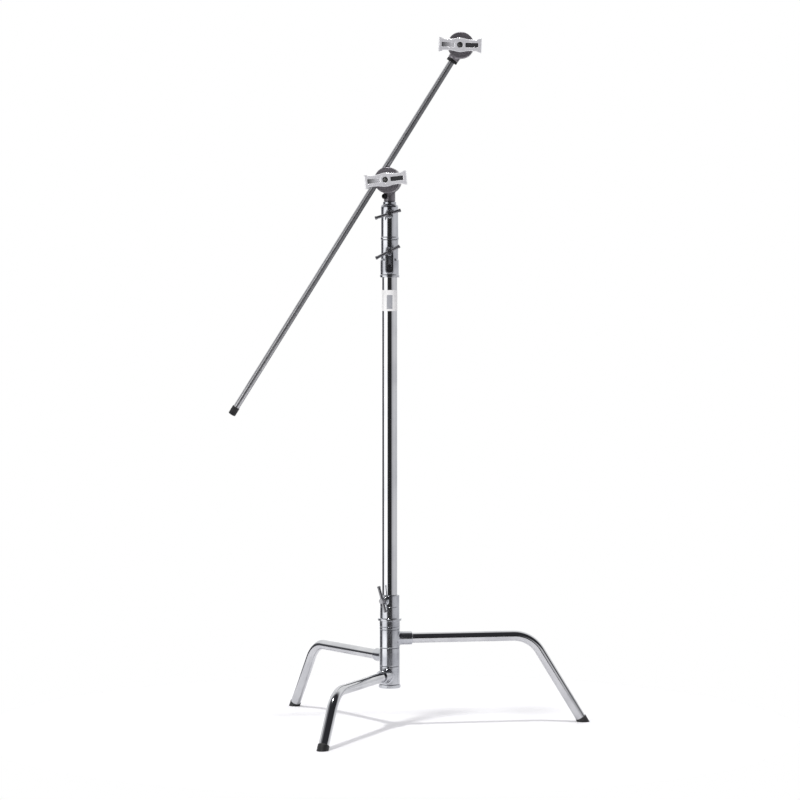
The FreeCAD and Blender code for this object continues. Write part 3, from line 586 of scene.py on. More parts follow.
@dataclass(frozen=True)
class Pad:
    """Boss or rib that grows out of a turned body with a flare at its foot.

    Its outline is a circle, or two half circles joined by straight sides. A row offset e outside
    the outline stands at sqrt(R^2 - y^2) + rise, so that the foot follows the round body. Its
    hole is a diameter, and lift is how far the hole is up from the pad's centre.
    """

    across: float
    face: float
    body: float
    flare: float
    edge: float
    drop: float = 0.0
    hole: float = 0.0
    lift: float = 0.0
    steps: int = 96
    sunk: float = 4.0

    def grid(self, basis: Basis) -> Array:
        """Closed surface from the foot, up the wall, over the face and down the hole.

        Args:
            basis: Origin on the body's axis; z points out of the pad and y along the body.

        Returns:
            Grid of points; its last row joins its first.
        """
        angle = (np.arange(self.steps) + 0.5) / self.steps * 2 * np.pi
        across, up = np.cos(angle), np.sin(angle)
        centre = np.where(up < 0, -self.drop, 0.0)
        turn = np.linspace(0, np.pi / 2, ROUND_STEPS + 2)
        rows = []

        def row(offset: float, rise: Optional[float] = None, place: Optional[float] = None) -> None:
            """One loop round the outline, above the round body or at a fixed place."""
            reach = self.across / 2 + offset
            height = np.sqrt(np.maximum(self.body ** 2 / 4 - (reach * across) ** 2, 1.0))
            level = height + rise if place is None else np.full_like(angle, place)
            rows.append(np.stack((reach * across, centre + reach * up, level), axis=-1))

        row(self.flare, rise=-self.sunk)
        for bend in turn:
            row(self.flare * (1 - math.sin(bend)), rise=self.flare * (1 - math.cos(bend)))
        row(0.0, place=self.face - self.edge - HOLD / 4)
        for bend in turn:
            sink = self.edge * (1 - math.sin(bend))
            row(-self.edge * (1 - math.cos(bend)), place=self.face - sink)
        row(-self.edge - HOLD / 4, place=self.face)
        if not self.hole:
            row(-self.across / 2, place=self.face)
            row(-self.across / 2, place=0.0)
            return basis.world(np.array(rows))
        ring = np.stack((across, up), axis=-1) * self.hole / 2 + (0.0, self.lift)
        for widen, sink in ((0.4, 0.0), (0.12, 0.12), (0.0, 0.4)):
            mouth = ring + np.stack((across, up), axis=-1) * widen
            rows.append(np.column_stack((mouth, np.full(self.steps, self.face - sink))))
        floor = math.sqrt(self.body ** 2 / 4 - self.hole ** 2 / 4) - self.sunk
        rows.append(np.column_stack((ring, np.full(self.steps, floor))))
        return basis.world(np.array(rows))


def swept_tube(path: Array, tangent: Array, side: Array, outside: float, inside: float,
               steps: int = 64) -> Array:
    """Bent tube: path + r (cos a n + sin a b), up its outer wall and back down its inner one.

    Args:
        path: Points of the centre line.
        tangent: Its direction at each point.
        side: The fixed direction square to the plane of the bend.
        outside: Outer diameter.
        inside: Inner diameter.
        steps: Points round it.

    Returns:
        Grid of points; its last row joins its first.
    """
    normal = np.cross(side, tangent)
    angle = circle(steps)[None, :, None]
    around = np.cos(angle) * normal[:, None] + np.sin(angle) * side
    walls = (path[:, None] + outside / 2 * around, (path[:, None] + inside / 2 * around)[::-1])
    return np.concatenate(walls)


class Skin:
    """Closed grid surfaces gathered into one mesh."""

    def __init__(self) -> None:
        """Start with no surface."""
        self.points: list[Array] = []
        self.quads: list[Array] = []
        self.maps: list[Array] = []
        self.count = 0

    def add(self, grid: Array, closed: bool) -> None:
        """Add a grid that is closed round its columns.

        Its map is metres round the widest loop and metres along the first column.

        Args:
            grid: (rows, columns, 3) points in millimetres.
            closed: Whether the last row joins the first; otherwise each end row is one point.
        """
        rows, columns = grid.shape[:2]
        index = np.arange(rows * columns).reshape(rows, columns) + self.count
        lower = index if closed else index[:-1]
        upper = np.roll(index, -1, axis=0) if closed else index[1:]
        ends = (lower, np.roll(lower, -1, axis=1), np.roll(upper, -1, axis=1), upper)
        self.quads.append(np.stack(ends, axis=-1).reshape(-1, 4))
        self.points.append(grid.reshape(-1, 3) / METRE)
        self.count += rows * columns
        steps = np.linalg.norm(grid - np.roll(grid, -1, axis=1), axis=2).sum(axis=1).max() / METRE
        runs = np.linalg.norm(np.roll(grid[:, 0], -1, axis=0) - grid[:, 0], axis=1) / METRE
        along = np.concatenate(([0.0], np.cumsum(runs)))[:len(lower) + 1]
        across = np.linspace(0.0, steps, columns + 1)
        u, v = np.meshgrid(across, along)
        flat = np.stack((u, v), axis=-1)
        corners = (flat[:-1, :-1], flat[:-1, 1:], flat[1:, 1:], flat[1:, :-1])
        self.maps.append(np.stack(corners, axis=2).reshape(-1, 2))

    def mesh(self, name: str) -> bpy.types.Mesh:
        """The mesh of all the surfaces, with its map, seams and poles joined."""
        made = bpy.data.meshes.new(name)
        made.from_pydata(np.concatenate(self.points), [], np.concatenate(self.quads))
        layer = made.uv_layers.new(name="Surface")
        layer.data.foreach_set("uv", np.concatenate(self.maps).ravel())
        tidy(made, 1e-6)
        return made


def tidy(mesh: bpy.types.Mesh, gap: float) -> None:
    """Join points closer than a gap and turn every face outwards."""
    work = bmesh.new()
    work.from_mesh(mesh)
    bmesh.ops.remove_doubles(work, verts=work.verts, dist=gap)
    bmesh.ops.dissolve_degenerate(work, edges=work.edges, dist=gap / 2)
    bmesh.ops.recalc_face_normals(work, faces=work.faces)
    work.to_mesh(mesh)
    work.free()


def show(mesh: bpy.types.Mesh, finish: Finish, node: str, sharp: float = 38.0) -> bpy.types.Object:
    """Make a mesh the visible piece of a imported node.

    Args:
        mesh: The finished surface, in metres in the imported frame.
        finish: What it is dressed in.
        node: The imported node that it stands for.
        sharp: Degrees between faces from which an edge is sharp.

    Returns:
        The new piece.
    """
    mesh.shade_smooth()
    mesh.set_sharp_from_angle(angle=math.radians(sharp))
    piece = placed(node + "_skin", mesh)
    finish.dress(piece)
    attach(piece, BODY_OF[node])
    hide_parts(node)
    log.info("%s: %d faces, %s", piece.name, len(mesh.polygons), finish.name)
    return piece


def joined(node: str, finish: Finish, *grids: Array, closed: bool = True) -> bpy.types.Object:
    """Show a node as one piece made of surfaces that all are closed, or all end in points."""
    skin = Skin()
    for grid in grids:
        skin.add(grid, closed)
    return show(skin.mesh(node + "_skin"), finish, node)


def turned(node: str, finish: Finish, basis: Basis, corners: Sequence[Corner]) -> bpy.types.Object:
    """Show a node as one turned piece."""
    return joined(node, finish, lathed(basis, corners), closed=is_ring(corners))


def inner(node: str, finish: Finish) -> None:
    """Keep a hidden node's own shape and dress it."""
    finish.dress(frame["nodes"][node])
    log.info("%s: kept, %s", node, finish.name)


def copied(node: str) -> bpy.types.Mesh:
    """A node's own surface as a joined mesh."""
    mesh = frame["nodes"][node].data.copy()
    mesh.name = node + "_skin"
    tidy(mesh, 2e-6)
    return mesh


def eased(node: str, finish: Finish, edge: float) -> bpy.types.Object:
    """Show a small machined node with its edges broken by a bevel."""
    piece = show(copied(node), finish, node)
    bevel = piece.modifiers.new("broken_edges", "BEVEL")
    bevel.width = edge / METRE
    bevel.segments = 2
    bevel.limit_method = "ANGLE"
    bevel.angle_limit = math.radians(28.0)
    return piece


# ---------------------------------------------------------------- castings
def rod(points: Array, across: float, low: float, high: float, edge: float,
        along: Sequence[float] = (0, 0, 1), centre: Sequence[float] = (0, 0, 0)) -> Array:
    """Signed distance to a round bar with rounded ends.

    With d = (distance from the axis - R, distance past the nearer end), each plus the edge radius,
    it is min(max(d), 0) + |max(d, 0)| - edge.

    Args:
        points: Where to measure.
        across: The diameter.
        low: Start, measured along the axis from the centre.
        high: End, measured in the same way.
        edge: Radius of the edges.
        along: The axis's direction.
        centre: A point of the axis.

    Returns:
        The distance at each point.
    """
    axis = unit(np.array(along, float))
    offset = points - np.array(centre, float)
    run = offset @ axis
    away = np.linalg.norm(offset - run[:, None] * axis, axis=1) - across / 2 + edge
    past = np.abs(run - (low + high) / 2) - (high - low) / 2 + edge
    return rounded_corner(np.stack((away, past)), edge)


def rounded_corner(parts: Array, edge: float) -> Array:
    """Join distances to square faces into one with rounded edges."""
    return np.minimum(parts.max(axis=0), 0) + np.linalg.norm(np.maximum(parts, 0), axis=0) - edge


def blended(first: Array, second: Array, fillet: float) -> Array:
    """Union of two shapes with a fillet: min(a, b) - h^2 / 4k, h = max(k - |a - b|, 0)."""
    near = np.maximum(fillet - np.abs(first - second), 0)
    return np.minimum(first, second) - near ** 2 / (4 * fillet)


def carved(body: Array, tool: Array, edge: float) -> Array:
    """A body less a tool, with the lip rounded: the blend of the two turned inside out."""
    return -blended(-body, tool, edge)


def cast(node: str, finish: Finish, basis: Basis, shape: Distance, cell: float,
         recess_shade: Optional[Distance] = None) -> bpy.types.Object:
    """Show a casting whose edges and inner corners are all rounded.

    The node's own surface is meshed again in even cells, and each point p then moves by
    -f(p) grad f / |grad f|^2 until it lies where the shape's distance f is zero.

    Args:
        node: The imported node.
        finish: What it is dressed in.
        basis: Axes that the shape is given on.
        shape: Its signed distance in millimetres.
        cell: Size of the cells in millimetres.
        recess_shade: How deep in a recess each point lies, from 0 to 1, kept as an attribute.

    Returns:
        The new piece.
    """
    source = placed(node + "_blank", copied(node))
    grid = source.modifiers.new("even_cells", "REMESH")
    grid.mode = "VOXEL"
    grid.voxel_size = cell / METRE
    seen = source.evaluated_get(bpy.context.evaluated_depsgraph_get())
    mesh = bpy.data.meshes.new_from_object(seen)
    mesh.name = node + "_skin"
    bpy.data.objects.remove(source)
    flat = np.empty(len(mesh.vertices) * 3, np.float32)
    mesh.vertices.foreach_get("co", flat)
    points = basis.local(flat.reshape(-1, 3).astype(float) * METRE)
    probe, passes = 0.02, 8
    for _ in range(passes):
        away = shape(points)
        slope = np.stack([(shape(points + step) - shape(points - step)) / (2 * probe)
                          for step in np.eye(3) * probe], axis=-1)
        steep = np.maximum((slope ** 2).sum(axis=1), 0.2)
        points -= np.clip(away / steep, -cell, cell)[:, None] * slope
    mesh.vertices.foreach_set("co", (basis.world(points) / METRE).astype(np.float32).ravel())
    # The recess mask is kept as an attribute so that the finish can paint shade into recesses.
    if recess_shade is not None:
        layer = mesh.attributes.new("recess_shade", "FLOAT", "POINT")
        layer.data.foreach_set("value", recess_shade(points).astype(np.float32))
    mesh.update()
    return show(mesh, finish, node, sharp=60.0)


# ---------------------------------------------------------------- sub-assemblies
@dataclass
class Lock:
    """Clamp screw and the cross bar through its head, on one of the mast's collars."""

    name: str
    tilt: float
    slide: float
    mast: float
    step: float = 0.0
    screw: float = 8.0
    head: float = 13.0
    collar: float = 11.0
    face: float = 28.4
    head_length: float = 12.4
    collar_length: float = 1.6
    bar: float = 7.2
    bar_end: float = 8.6
    bar_half: float = 33.0
    bar_place: float = 34.0
    bar_neck: float = 0.13
    tip_gap: float = 4.2
    boss_across: float = 17.0
    boss_face: float = 28.0

    def build(self) -> None:
        """Turn the screw and the bar."""
        basis = Basis.of_joint(self.name + "_turn")
        tip = self.mast / 2 + self.tip_gap
        face = self.face + self.step
        top = face + self.head_length
        turned(self.name + "_screw", LOCK_STEEL, basis, [
            (0, tip, 0), (self.screw, tip, 0.8), (self.screw, face, 0.2), (self.head, face, 1.0),
            (self.head, top - 0.4, 1.6), (self.collar, top - 0.4, 0.2),
            (self.collar, top + self.collar_length, 1.0), (0, top + self.collar_length, 0)])
        low, high = self.slide - self.bar_half, self.slide + self.bar_half
        neck = self.bar_half * self.bar_neck
        turned(self.name + "_bar", LOCK_STEEL, basis.along(self.tilt, self.bar_place + self.step), [
            (0, low, 0), (self.bar_end, low, 2.4), (self.bar_end, low + neck, 0.7),
            (self.bar, low + neck + 0.6, 0.4), (self.bar, high - neck - 0.6, 0.4),
            (self.bar_end, high - neck, 0.7), (self.bar_end, high, 2.4), (0, high, 0)])

    def boss(self, body: float) -> Array:
        """Surface of the round boss that the screw goes through, on a body of some diameter."""
        pad = Pad(self.boss_across, self.boss_face + self.step, body, flare=3.2, edge=1.1,
                  hole=self.screw + RUNNING_FIT)
        return pad.grid(Basis.of_joint(self.name + "_turn"))


@dataclass
class Leg:
    """Hub ring with a side socket, a bent tube and a rubber foot."""

    name: str
    slope: float = 31.7
    bend: float = 78.0
    tube: float = 25.4
    bore: float = 21.4
    start: float = 27.0
    foot: float = 27.6
    seat: float = 9.2
    cap: float = 13.2
    cap_steps: int = 72
    hub: float = 50.0
    hub_bore: float = 42.52
    boss: float = 32.6
    boss_reach: float = 55.0

    def __post_init__(self) -> None:
        """Find the leg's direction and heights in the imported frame."""
        touch = np.array(MOUNTS[self.name + "_foot_rest"]["pos_m"]) * METRE
        self.reach = float(np.linalg.norm(touch[:2]))
        self.outward = unit(touch)
        self.side = np.cross(UPWARD, self.outward)
        self.span = Span.of(self.name + "_leg_hub")
        self.height = (self.span.bottom + self.span.top) / 2
        self.angle = math.radians(self.slope)
        self.down = self.outward * math.sin(self.angle) - UPWARD * math.cos(self.angle)
        self.touch = touch

    def build(self) -> None:
        """Make the hub, the tube and the foot."""
        self.build_hub()
        self.build_tube()
        self.build_foot()

    def build_hub(self) -> None:
        """Turned ring with the flared socket of the tube on its side."""
        low, high = self.span.bottom, self.span.top
        facing = Basis.facing(UPWARD * self.height, self.outward, UPWARD)
        boss = Pad(self.boss, self.boss_reach, self.hub, flare=3.6, edge=1.6,
                   hole=self.tube + 0.1, steps=FINE_STEPS)
        ring = lathed(MAST, [(self.hub_bore, low, 0.3), (self.hub, low, 1.3),
                             (self.hub, high, 1.3), (self.hub_bore, high, 0.3)], steps=FINE_STEPS)
        joined(self.name + "_leg_hub", CHROME_CAST, ring, boss.grid(facing))

    def build_tube(self) -> None:
        """Tube along a level run, round one bend and down the slope to the foot."""
        knee_reach = self.reach - self.height * math.tan(self.angle)
        setback = self.bend * math.tan((math.pi / 2 - self.angle) / 2)
        level = self.outward * (knee_reach - setback) + UPWARD * self.height
        turn = np.linspace(0, math.pi / 2 - self.angle, 28)[:, None]
        arc = level + self.bend * (np.sin(turn) * self.outward - (1 - np.cos(turn)) * UPWARD)
        arc_way = np.cos(turn) * self.outward - np.sin(turn) * UPWARD
        first = self.outward * self.start + UPWARD * self.height
        last = self.touch - self.down * self.seat
        run_in = first + (level - first) * np.linspace(0, 0.995, 6)[:, None]
        run_out = arc[-1] + (last - arc[-1]) * np.linspace(0.005, 1, 8)[:, None]
        path = np.concatenate((run_in, arc, run_out))
        ways = (np.broadcast_to(self.outward, run_in.shape), arc_way,
                np.broadcast_to(self.down, run_out.shape))
        grid = swept_tube(path, np.concatenate(ways), self.side, self.tube, self.bore)
        joined(self.name + "_leg_tube", CHROME_TUBE, grid)

    def build_foot(self) -> None:
        """Rubber cap square to the tube, cut flat on the floor.

        Its profile is (share of the radius, share of the length) from the floor up. A line down
        its wall ends where it meets the floor, at R cos a tan(slope) along the leg.
        """
        angle = circle(self.cap_steps)
        ahead = self.outward * math.cos(self.angle) + UPWARD * math.sin(self.angle)
        across = np.cos(angle)[:, None] * -ahead + np.sin(angle)[:, None] * self.side
        rows = []
        profile = [(0.0, 0.0), (0.94, 0.0), (1.0, 0.05), (1.0, 0.12), (0.992, 0.16), (0.992, 0.74),
                   (1.0, 0.79), (1.0, 0.95), (0.985, 0.985), (0.95, 1.0), (0.93, 1.0), (0.93, 0.6)]
        for wide, high in profile:
            radius = self.foot / 2 * wide
            lift = radius * np.cos(angle) * math.tan(self.angle)
            place = lift * (1 - high) + self.cap * high
            rows.append(self.touch + radius * across - place[:, None] * self.down)
        bottom = self.touch - self.down * self.cap * profile[-1][1]
        rows.append(np.broadcast_to(bottom, rows[-1].shape))
        joined(self.name + "_leg_foot", RUBBER, np.array(rows), closed=False)


@dataclass
class Base:
    """Core tube with its nut, neck ring and the flanged socket that holds the column."""

    lock: Lock
    legs: Sequence[str] = ("lower", "middle", "top")
    nut_hole: float = 31.0
    bore: float = 38.22
    core: float = 42.5
    socket: float = 48.5
    flange: float = 58.8
    flange_height: float = 5.5
    floor: float = 3.0
    line: float = 295.0
    groove: float = 246.0
    nut_depth: float = 4.4

    def build(self) -> None:
        """Turn the base's rings, then make the legs and the lock."""
        nut = Span.of("base_retaining_nut")
        wide, nut_floor = nut.across, nut.top - self.nut_depth
        turned("base_retaining_nut", CHROME_CAST, MAST, [
            (self.nut_hole, nut.bottom, 0.4), (wide - 3, nut.bottom, 0.8),
            (wide, nut.bottom + 1.5, 0.8), (wide, nut.top, 0.8), (self.core, nut.top, 0.2),
            (self.core, nut_floor, 0.2), (self.nut_hole, nut_floor, 0.3)])
        neck = Span.of("base_neck_ring")
        wide = neck.across
        turned("base_neck_ring", CHROME_CAST, MAST, [
            (self.core, neck.bottom, 0.2), (wide, neck.bottom, 0.8),
            *scribed(wide, self.groove, 1.4), (wide, neck.top, 0.2), (self.core, neck.top, 0.2)])
        self.build_socket()
        for leg in self.legs:
            Leg(leg).build()
        self.lock.build()
        inner("base_core_tube", CHROME_TUBE)
        inner("base_brake_shoe", BRASS)

    def build_socket(self) -> None:
        """Flanged cup with a turned line and the boss of the lock."""
        span = Span.of("base_socket")
        low, floor, shelf = span.bottom, span.bottom + self.floor, span.bottom + self.flange_height
        cup = lathed(MAST, [
            (self.core, low, 0.2), (self.flange, low, 1.2), (self.flange, shelf, 1.4),
            (self.socket, shelf, 1.2), *scribed(self.socket, self.line, 1.5),
            (self.socket, span.top, 2.6), (self.bore, span.top, 0.8), (self.bore, floor, 0.2),
            (self.core, floor, 0.2)], steps=FINE_STEPS)
        joined("base_socket", CHROME_CAST, cup, self.lock.boss(self.socket))


@dataclass
class Column:
    """First mast section: tube, printed wrap and the cast collar with its rib."""

    lock: Lock
    bore: float = 34.5
    collar_bore: float = 38.16
    riser_bore: float = 31.87
    flange: float = 48.5
    lower: float = 46.0
    waist: float = 1140.0
    upper: float = 43.0
    rib: float = 20.0
    rib_face: float = 26.0
    rib_low: float = 1118.6
    screw_height: float = 1127.0
    screw_hole: float = 7.1
    glue: float = 0.02

    def build(self) -> None:
        """Make the tube, the wrap and the collar, and dress the rest."""
        tube = Span.of("column_tube")
        section = tube_section(tube.across, self.bore, tube.bottom, tube.top, 0.6)
        turned("column_tube", CHROME_TUBE, MAST, section)
        wrap = Span.of("column_label")
        film = Film("label_film", math.pi * wrap.across)
        inside = tube.across + self.glue
        turned("column_label", film, MAST, [
            (inside, wrap.bottom, 0.0), (wrap.across, wrap.bottom, 0.1),
            (wrap.across, wrap.top, 0.1), (inside, wrap.top, 0.0)])
        self.build_collar(tube.top)
        eased("column_collar_set_screw", BLACK_STEEL, 0.3)
        inner("column_brake_shoe", BRASS)
        self.lock.build()

    def build_collar(self, tube_top: float) -> None:
        """Turned sleeve, the rib down its front and the lock's boss."""
        span = Span.of("column_collar")
        low, high = span.bottom, span.top
        sleeve = collar(span, self.collar_bore, self.riser_bore, tube_top, [
            (self.flange, low, 0.9), (self.flange, low + 5.4, 0.9), (self.lower, low + 6.6, 0.8),
            (self.lower, self.waist, 2.0), (self.upper, self.waist + 4, 2.0),
            (self.upper, high, 1.6)])
        facing = Basis.of_joint(self.lock.name + "_turn")
        lock_height = facing.place[2]
        rib = Pad(self.rib, self.rib_face, self.lower, flare=1.8, edge=1.4,
                  drop=lock_height - self.rib_low, hole=self.screw_hole,
                  lift=self.screw_height - lock_height, sunk=5.0)
        upper = Pad(self.rib, self.rib_face, self.upper, flare=2.6, edge=1.4)
        joined("column_collar", CHROME_CAST, sleeve, rib.grid(facing),
               self.lock.boss(2 * self.rib_face), upper.grid(facing))


@dataclass
class Risers:
    """Second and third mast sections, the second collar and the spigot on top."""

    lock: Lock
    second_bore: float = 28.45
    third_bore: float = 22.1
    collar_bore: float = 31.81
    rim: float = 45.0
    sleeve: float = 43.0
    dome: float = 37.0
    top_bore: float = 25.52
    pin: float = 15.88
    waist: float = 13.6
    flange: float = 33.0
    flange_thickness: float = 6.6

    def build(self) -> None:
        """Make both tubes, the collar and the spigot."""
        second, third = Span.of("riser_two_tube"), Span.of("top_riser_tube")
        for node, span, bore in (("riser_two_tube", second, self.second_bore),
                                 ("top_riser_tube", third, self.third_bore)):
            section = tube_section(span.across, bore, span.bottom, span.top, 0.5)
            turned(node, CHROME_TUBE, MAST, section)
        self.build_collar(second.top)
        self.build_pin(third.top)
        self.lock.build()
        for node in ("riser_two_bush", "top_riser_bush"):
            inner(node, NYLON)
        inner("riser_brake_shoe", BRASS)

    def build_collar(self, tube_top: float) -> None:
        """Turned sleeve with a rim below, a domed top and the lock's boss."""
        span = Span.of("riser_two_collar")
        low, high = span.bottom, span.top
        sleeve = collar(span, self.collar_bore, self.top_bore, tube_top, [
            (self.rim, low, 0.9), (self.rim, low + 5.2, 0.9), (self.sleeve, low + 6.4, 0.8),
            (self.sleeve, high - 6, 2.4), (self.dome + 3.6, high - 2, 1.8), (self.dome, high, 1.2)])
        joined("riser_two_collar", CHROME_CAST, sleeve, self.lock.boss(self.sleeve))

    def build_pin(self, seat: float) -> None:
        """Flanged spigot with a waist for the head's screw."""
        span = Span.of("baby_pin")
        shoulder = seat + self.flange_thickness
        plug = self.third_bore - 0.1
        low, high, cone = shoulder + 8, shoulder + 19, 2
        turned("baby_pin", CHROME_CAST, MAST, [
            (0, span.bottom, 0), (plug, span.bottom, 0.8), (plug, seat, 0.2),
            (self.flange, seat, 0.9), (self.flange, shoulder, 1.0), (self.pin, shoulder, 0.5),
            (self.pin, low - cone, 0.4), (self.waist, low, 0.4), (self.waist, high, 0.4),
            (self.pin, high + cone, 0.4), (self.pin, span.top, 1.5), (0, span.top, 0)])


@dataclass
class GripHead:
    """Casting with a back disc and a socketed stem, two grooved jaws, washer and tee handle.

    Distances along z start at the stem's axis, and the clamp bolt lies on z.
    """

    prefix: str
    basis: Basis
    stem_length: float
    groove_angle: float
    handle_angle: float
    screwed: bool = False
    disc: float = 63.5
    disc_back: float = 6.0
    disc_front: float = 15.0
    stem: float = 28.0
    stem_high: float = 17.0
    socket: float = 16.0
    socket_end: float = 10.8
    bolt: float = 10.0
    bolt_play: float = 0.16
    seat: float = 22.0
    jaw_back: float = 15.3
    jaw_thickness: float = 9.0
    jaw_gap: float = 6.0
    groove_place: float = 21.0
    grooves: tuple[float, ...] = (16.0, 12.8, 9.6, 7.4)
    washer: float = 24.0
    washer_thickness: float = 2.2
    handle_back: float = 42.0
    handle_web: float = 48.0
    handle_front: float = 64.0
    handle_reach: float = 51.5
    handle_edge: float = 2.2
    channel: float = 3.5
    channel_half: float = 5.4
    channel_start: float = 13.0
    channel_rim: float = 7.5
    channel_edge: float = 1.2
    mouth: float = 13.8
    mouth_depth: float = 10.0
    pin_drop: float = 38.0
    pin_screw: float = 8.0

    def build(self) -> None:
        """Cast, turn and dress the head's parts."""
        cast(self.prefix + "_body", HEAD_CAST, self.basis, self.body_shape, 0.75)
        jaws = self.basis.spun(self.groove_angle)
        rod_axis = self.jaw_back + self.jaw_thickness + self.jaw_gap / 2
        front = rod_axis + self.jaw_gap / 2
        for node, low in (("_inner_jaw", self.jaw_back), ("_outer_jaw", front)):
            cast(self.prefix + node, HEAD_CAST, jaws, self.jaw_shape(low, rod_axis), 0.7)
        rest = front + self.jaw_thickness
        turned(self.prefix + "_washer", ZINC_STEEL, self.basis, tube_section(
            self.washer, self.bolt + 0.3, rest, rest + self.washer_thickness, 0.6))
        # The handle's recess mask drives painted shade in its mouth and channels.
        cast(self.prefix + "_t_handle", HANDLE_CAST, self.basis.spun(self.handle_angle),
             self.handle_shape, 0.7, self.handle_recess_shade)
        eased(self.prefix + "_bolt", ZINC_STEEL, 0.5)
        eased(self.prefix + "_handle_nut", ZINC_STEEL, 0.5)

    def body_shape(self, points: Array) -> Array:
        """Disc, stem and bolt seat blended together, less the socket and the two holes."""
        upwards = (0, 1, 0)
        disc = rod(points, self.disc, self.disc_back, self.disc_front, 1.6)
        stem = rod(points, self.stem, -self.stem_length, self.stem_high, 1.8, upwards)
        seat = rod(points, self.seat, -self.stem / 2 - 1, -2.0, 0.8)
        solid = blended(blended(disc, stem, 6.0), seat, 3.0)
        socket = rod(points, self.socket, -self.stem_length * 2, -self.socket_end, 0.4, upwards)
        hole = rod(points, self.bolt + 0.1, -self.stem * 2, self.stem * 2, 0.1)
        solid = carved(carved(solid, socket, 0.8), hole, 0.5)
        if not self.screwed:
            return solid
        way = np.array(JOINTS["pin_screw_turn"]["axis"]) @ self.basis.axes.T
        across = self.pin_screw + RUNNING_FIT
        drill = rod(points, across, 0.0, self.stem, 0.1, way, (0, -self.pin_drop, 0))
        return carved(solid, drill, 0.5)

    def jaw_shape(self, low: float, rod_axis: float) -> Distance:
        """Round jaw with two pairs of grooves in a square round the bolt.

        Args:
            low: Where the jaw's back is.
            rod_axis: Where a held rod's axis is, between the jaws.

        Returns:
            The jaw's signed distance.
        """
        spots = ((0, 1), (0, -1), (1, 0), (-1, 0))

        def shape(points: Array) -> Array:
            """Disc less four grooves and the bolt's hole."""
            solid = rod(points, self.disc, low, low + self.jaw_thickness, 1.3)
            for wide, (across, up) in zip(self.grooves, spots):
                centre = (across * self.groove_place, up * self.groove_place, rod_axis)
                way = (abs(up), abs(across), 0)
                groove = rod(points, wide, -self.disc * 2, self.disc * 2, 0.1, way, centre)
                solid = carved(solid, groove, 0.9)
            hole = rod(points, self.bolt + self.bolt_play, 0, self.disc * 2, 0.1)
            return carved(solid, hole, 0.5)

        return shape

    def handle_shape(self, points: Array) -> Array:
        """Dog-bone plate blended into its hub, less the channels, the mouth and the bore.

        Half the plate's height is given at stations out from its middle, joined and smoothed.
        """
        x, y = np.abs(points[:, :2].T)
        z = points[:, 2]
        reach, front = self.handle_reach, self.handle_front
        stations = np.array((0, 6, 12, 20, 30, reach - 11, reach - 7, reach - 4, reach))
        heights = np.array((17.0, 16.6, 15.2, 13.7, 13.3, 13.7, 16.0, 17.8, 17.4))
        spacing = np.linspace(0, reach, 80)
        table = np.interp(spacing, stations, heights)
        smooth = np.convolve(np.pad(table, 4, "edge"), np.ones(9) / 9, "valid")
        half = np.interp(x, spacing, smooth)
        middle, deep = (front + self.handle_web) / 2, (front - self.handle_web) / 2
        edge, lip = self.handle_edge, self.channel_edge
        sides = np.stack((x - reach, y - half, np.abs(z - middle) - deep)) + edge
        plate = rounded_corner(sides, edge)
        solid = blended(plate, rod(points, self.washer, self.handle_back, front - 2, 1.0), 4.0)
        start, end = self.channel_start, reach - self.channel_rim
        box = np.stack((np.abs(x - (start + end) / 2) - (end - start) / 2, y - self.channel_half,
                        np.abs(z - front) - self.channel)) + lip
        solid = carved(solid, rounded_corner(box, lip), lip)
        nut_mouth = rod(points, self.mouth, front - self.mouth_depth, front * 2, 0.4)
        bore = rod(points, self.bolt + self.bolt_play, 0, front * 2, 0.1)
        return carved(carved(solid, nut_mouth, 1.0), bore, 0.4)

    def handle_recess_shade(self, points: Array) -> Array:
        """Painted shade in the mouth and the right channel, fading inwards along the left one.

        It grows with how far a point lies below the front face.
        """
        x, y, z = points.T
        inside = (np.abs(y) < self.mouth / 2 + 0.3) & (np.abs(x) < self.handle_reach - 7.0)
        fade = np.where(x < -self.mouth / 2 - 1.0, 0.85 * np.clip(-x / 22 - 0.9, 0, 1), 1.0)
        return np.clip((self.handle_front - 0.8 - z) / 1.6, 0, 1) * fade * inside


@dataclass
class Arm:
    """Long rod with a rubber cap at its foot, a ring and a second grip head at its top."""

    head: GripHead
    basis: Basis
    rod: float = 15.88
    bore: float = 11.9
    low: float = -687.0
    high: float = 352.0
    cap: float = 18.6
    cap_length: float = 22.0
    cap_floor: float = 3.0
    ring: float = 27.0
    ring_low: float = 323.0
    ring_high: float = 330.8
    slack: float = 0.04

    def build(self) -> None:
        """Turn the rod, the cap and the ring, and make the second head."""
        section = tube_section(self.rod, self.bore, self.low, self.high, 0.5)
        turned("arm_rod", CHROME_WORN, self.basis, section)
        fit = self.rod + self.slack
        end = self.low - self.cap_floor
        top = end + self.cap_length
        turned("arm_end_cap", RUBBER, self.basis, [
            (0, end, 0), (self.cap, end, 2.6), (self.cap, top - 3.4, 0.3),
            (self.cap - 0.5, top - 2.9, 0.2), (self.cap, top - 2.4, 0.3), (self.cap, top, 0.7),
            (fit, top, 0.3), (fit, self.low, 0.2), (0, self.low, 0)])
        turned("arm_ring", RUBBER, self.basis,
               tube_section(self.ring, fit, self.ring_low, self.ring_high, 1.2))
        self.head.build()


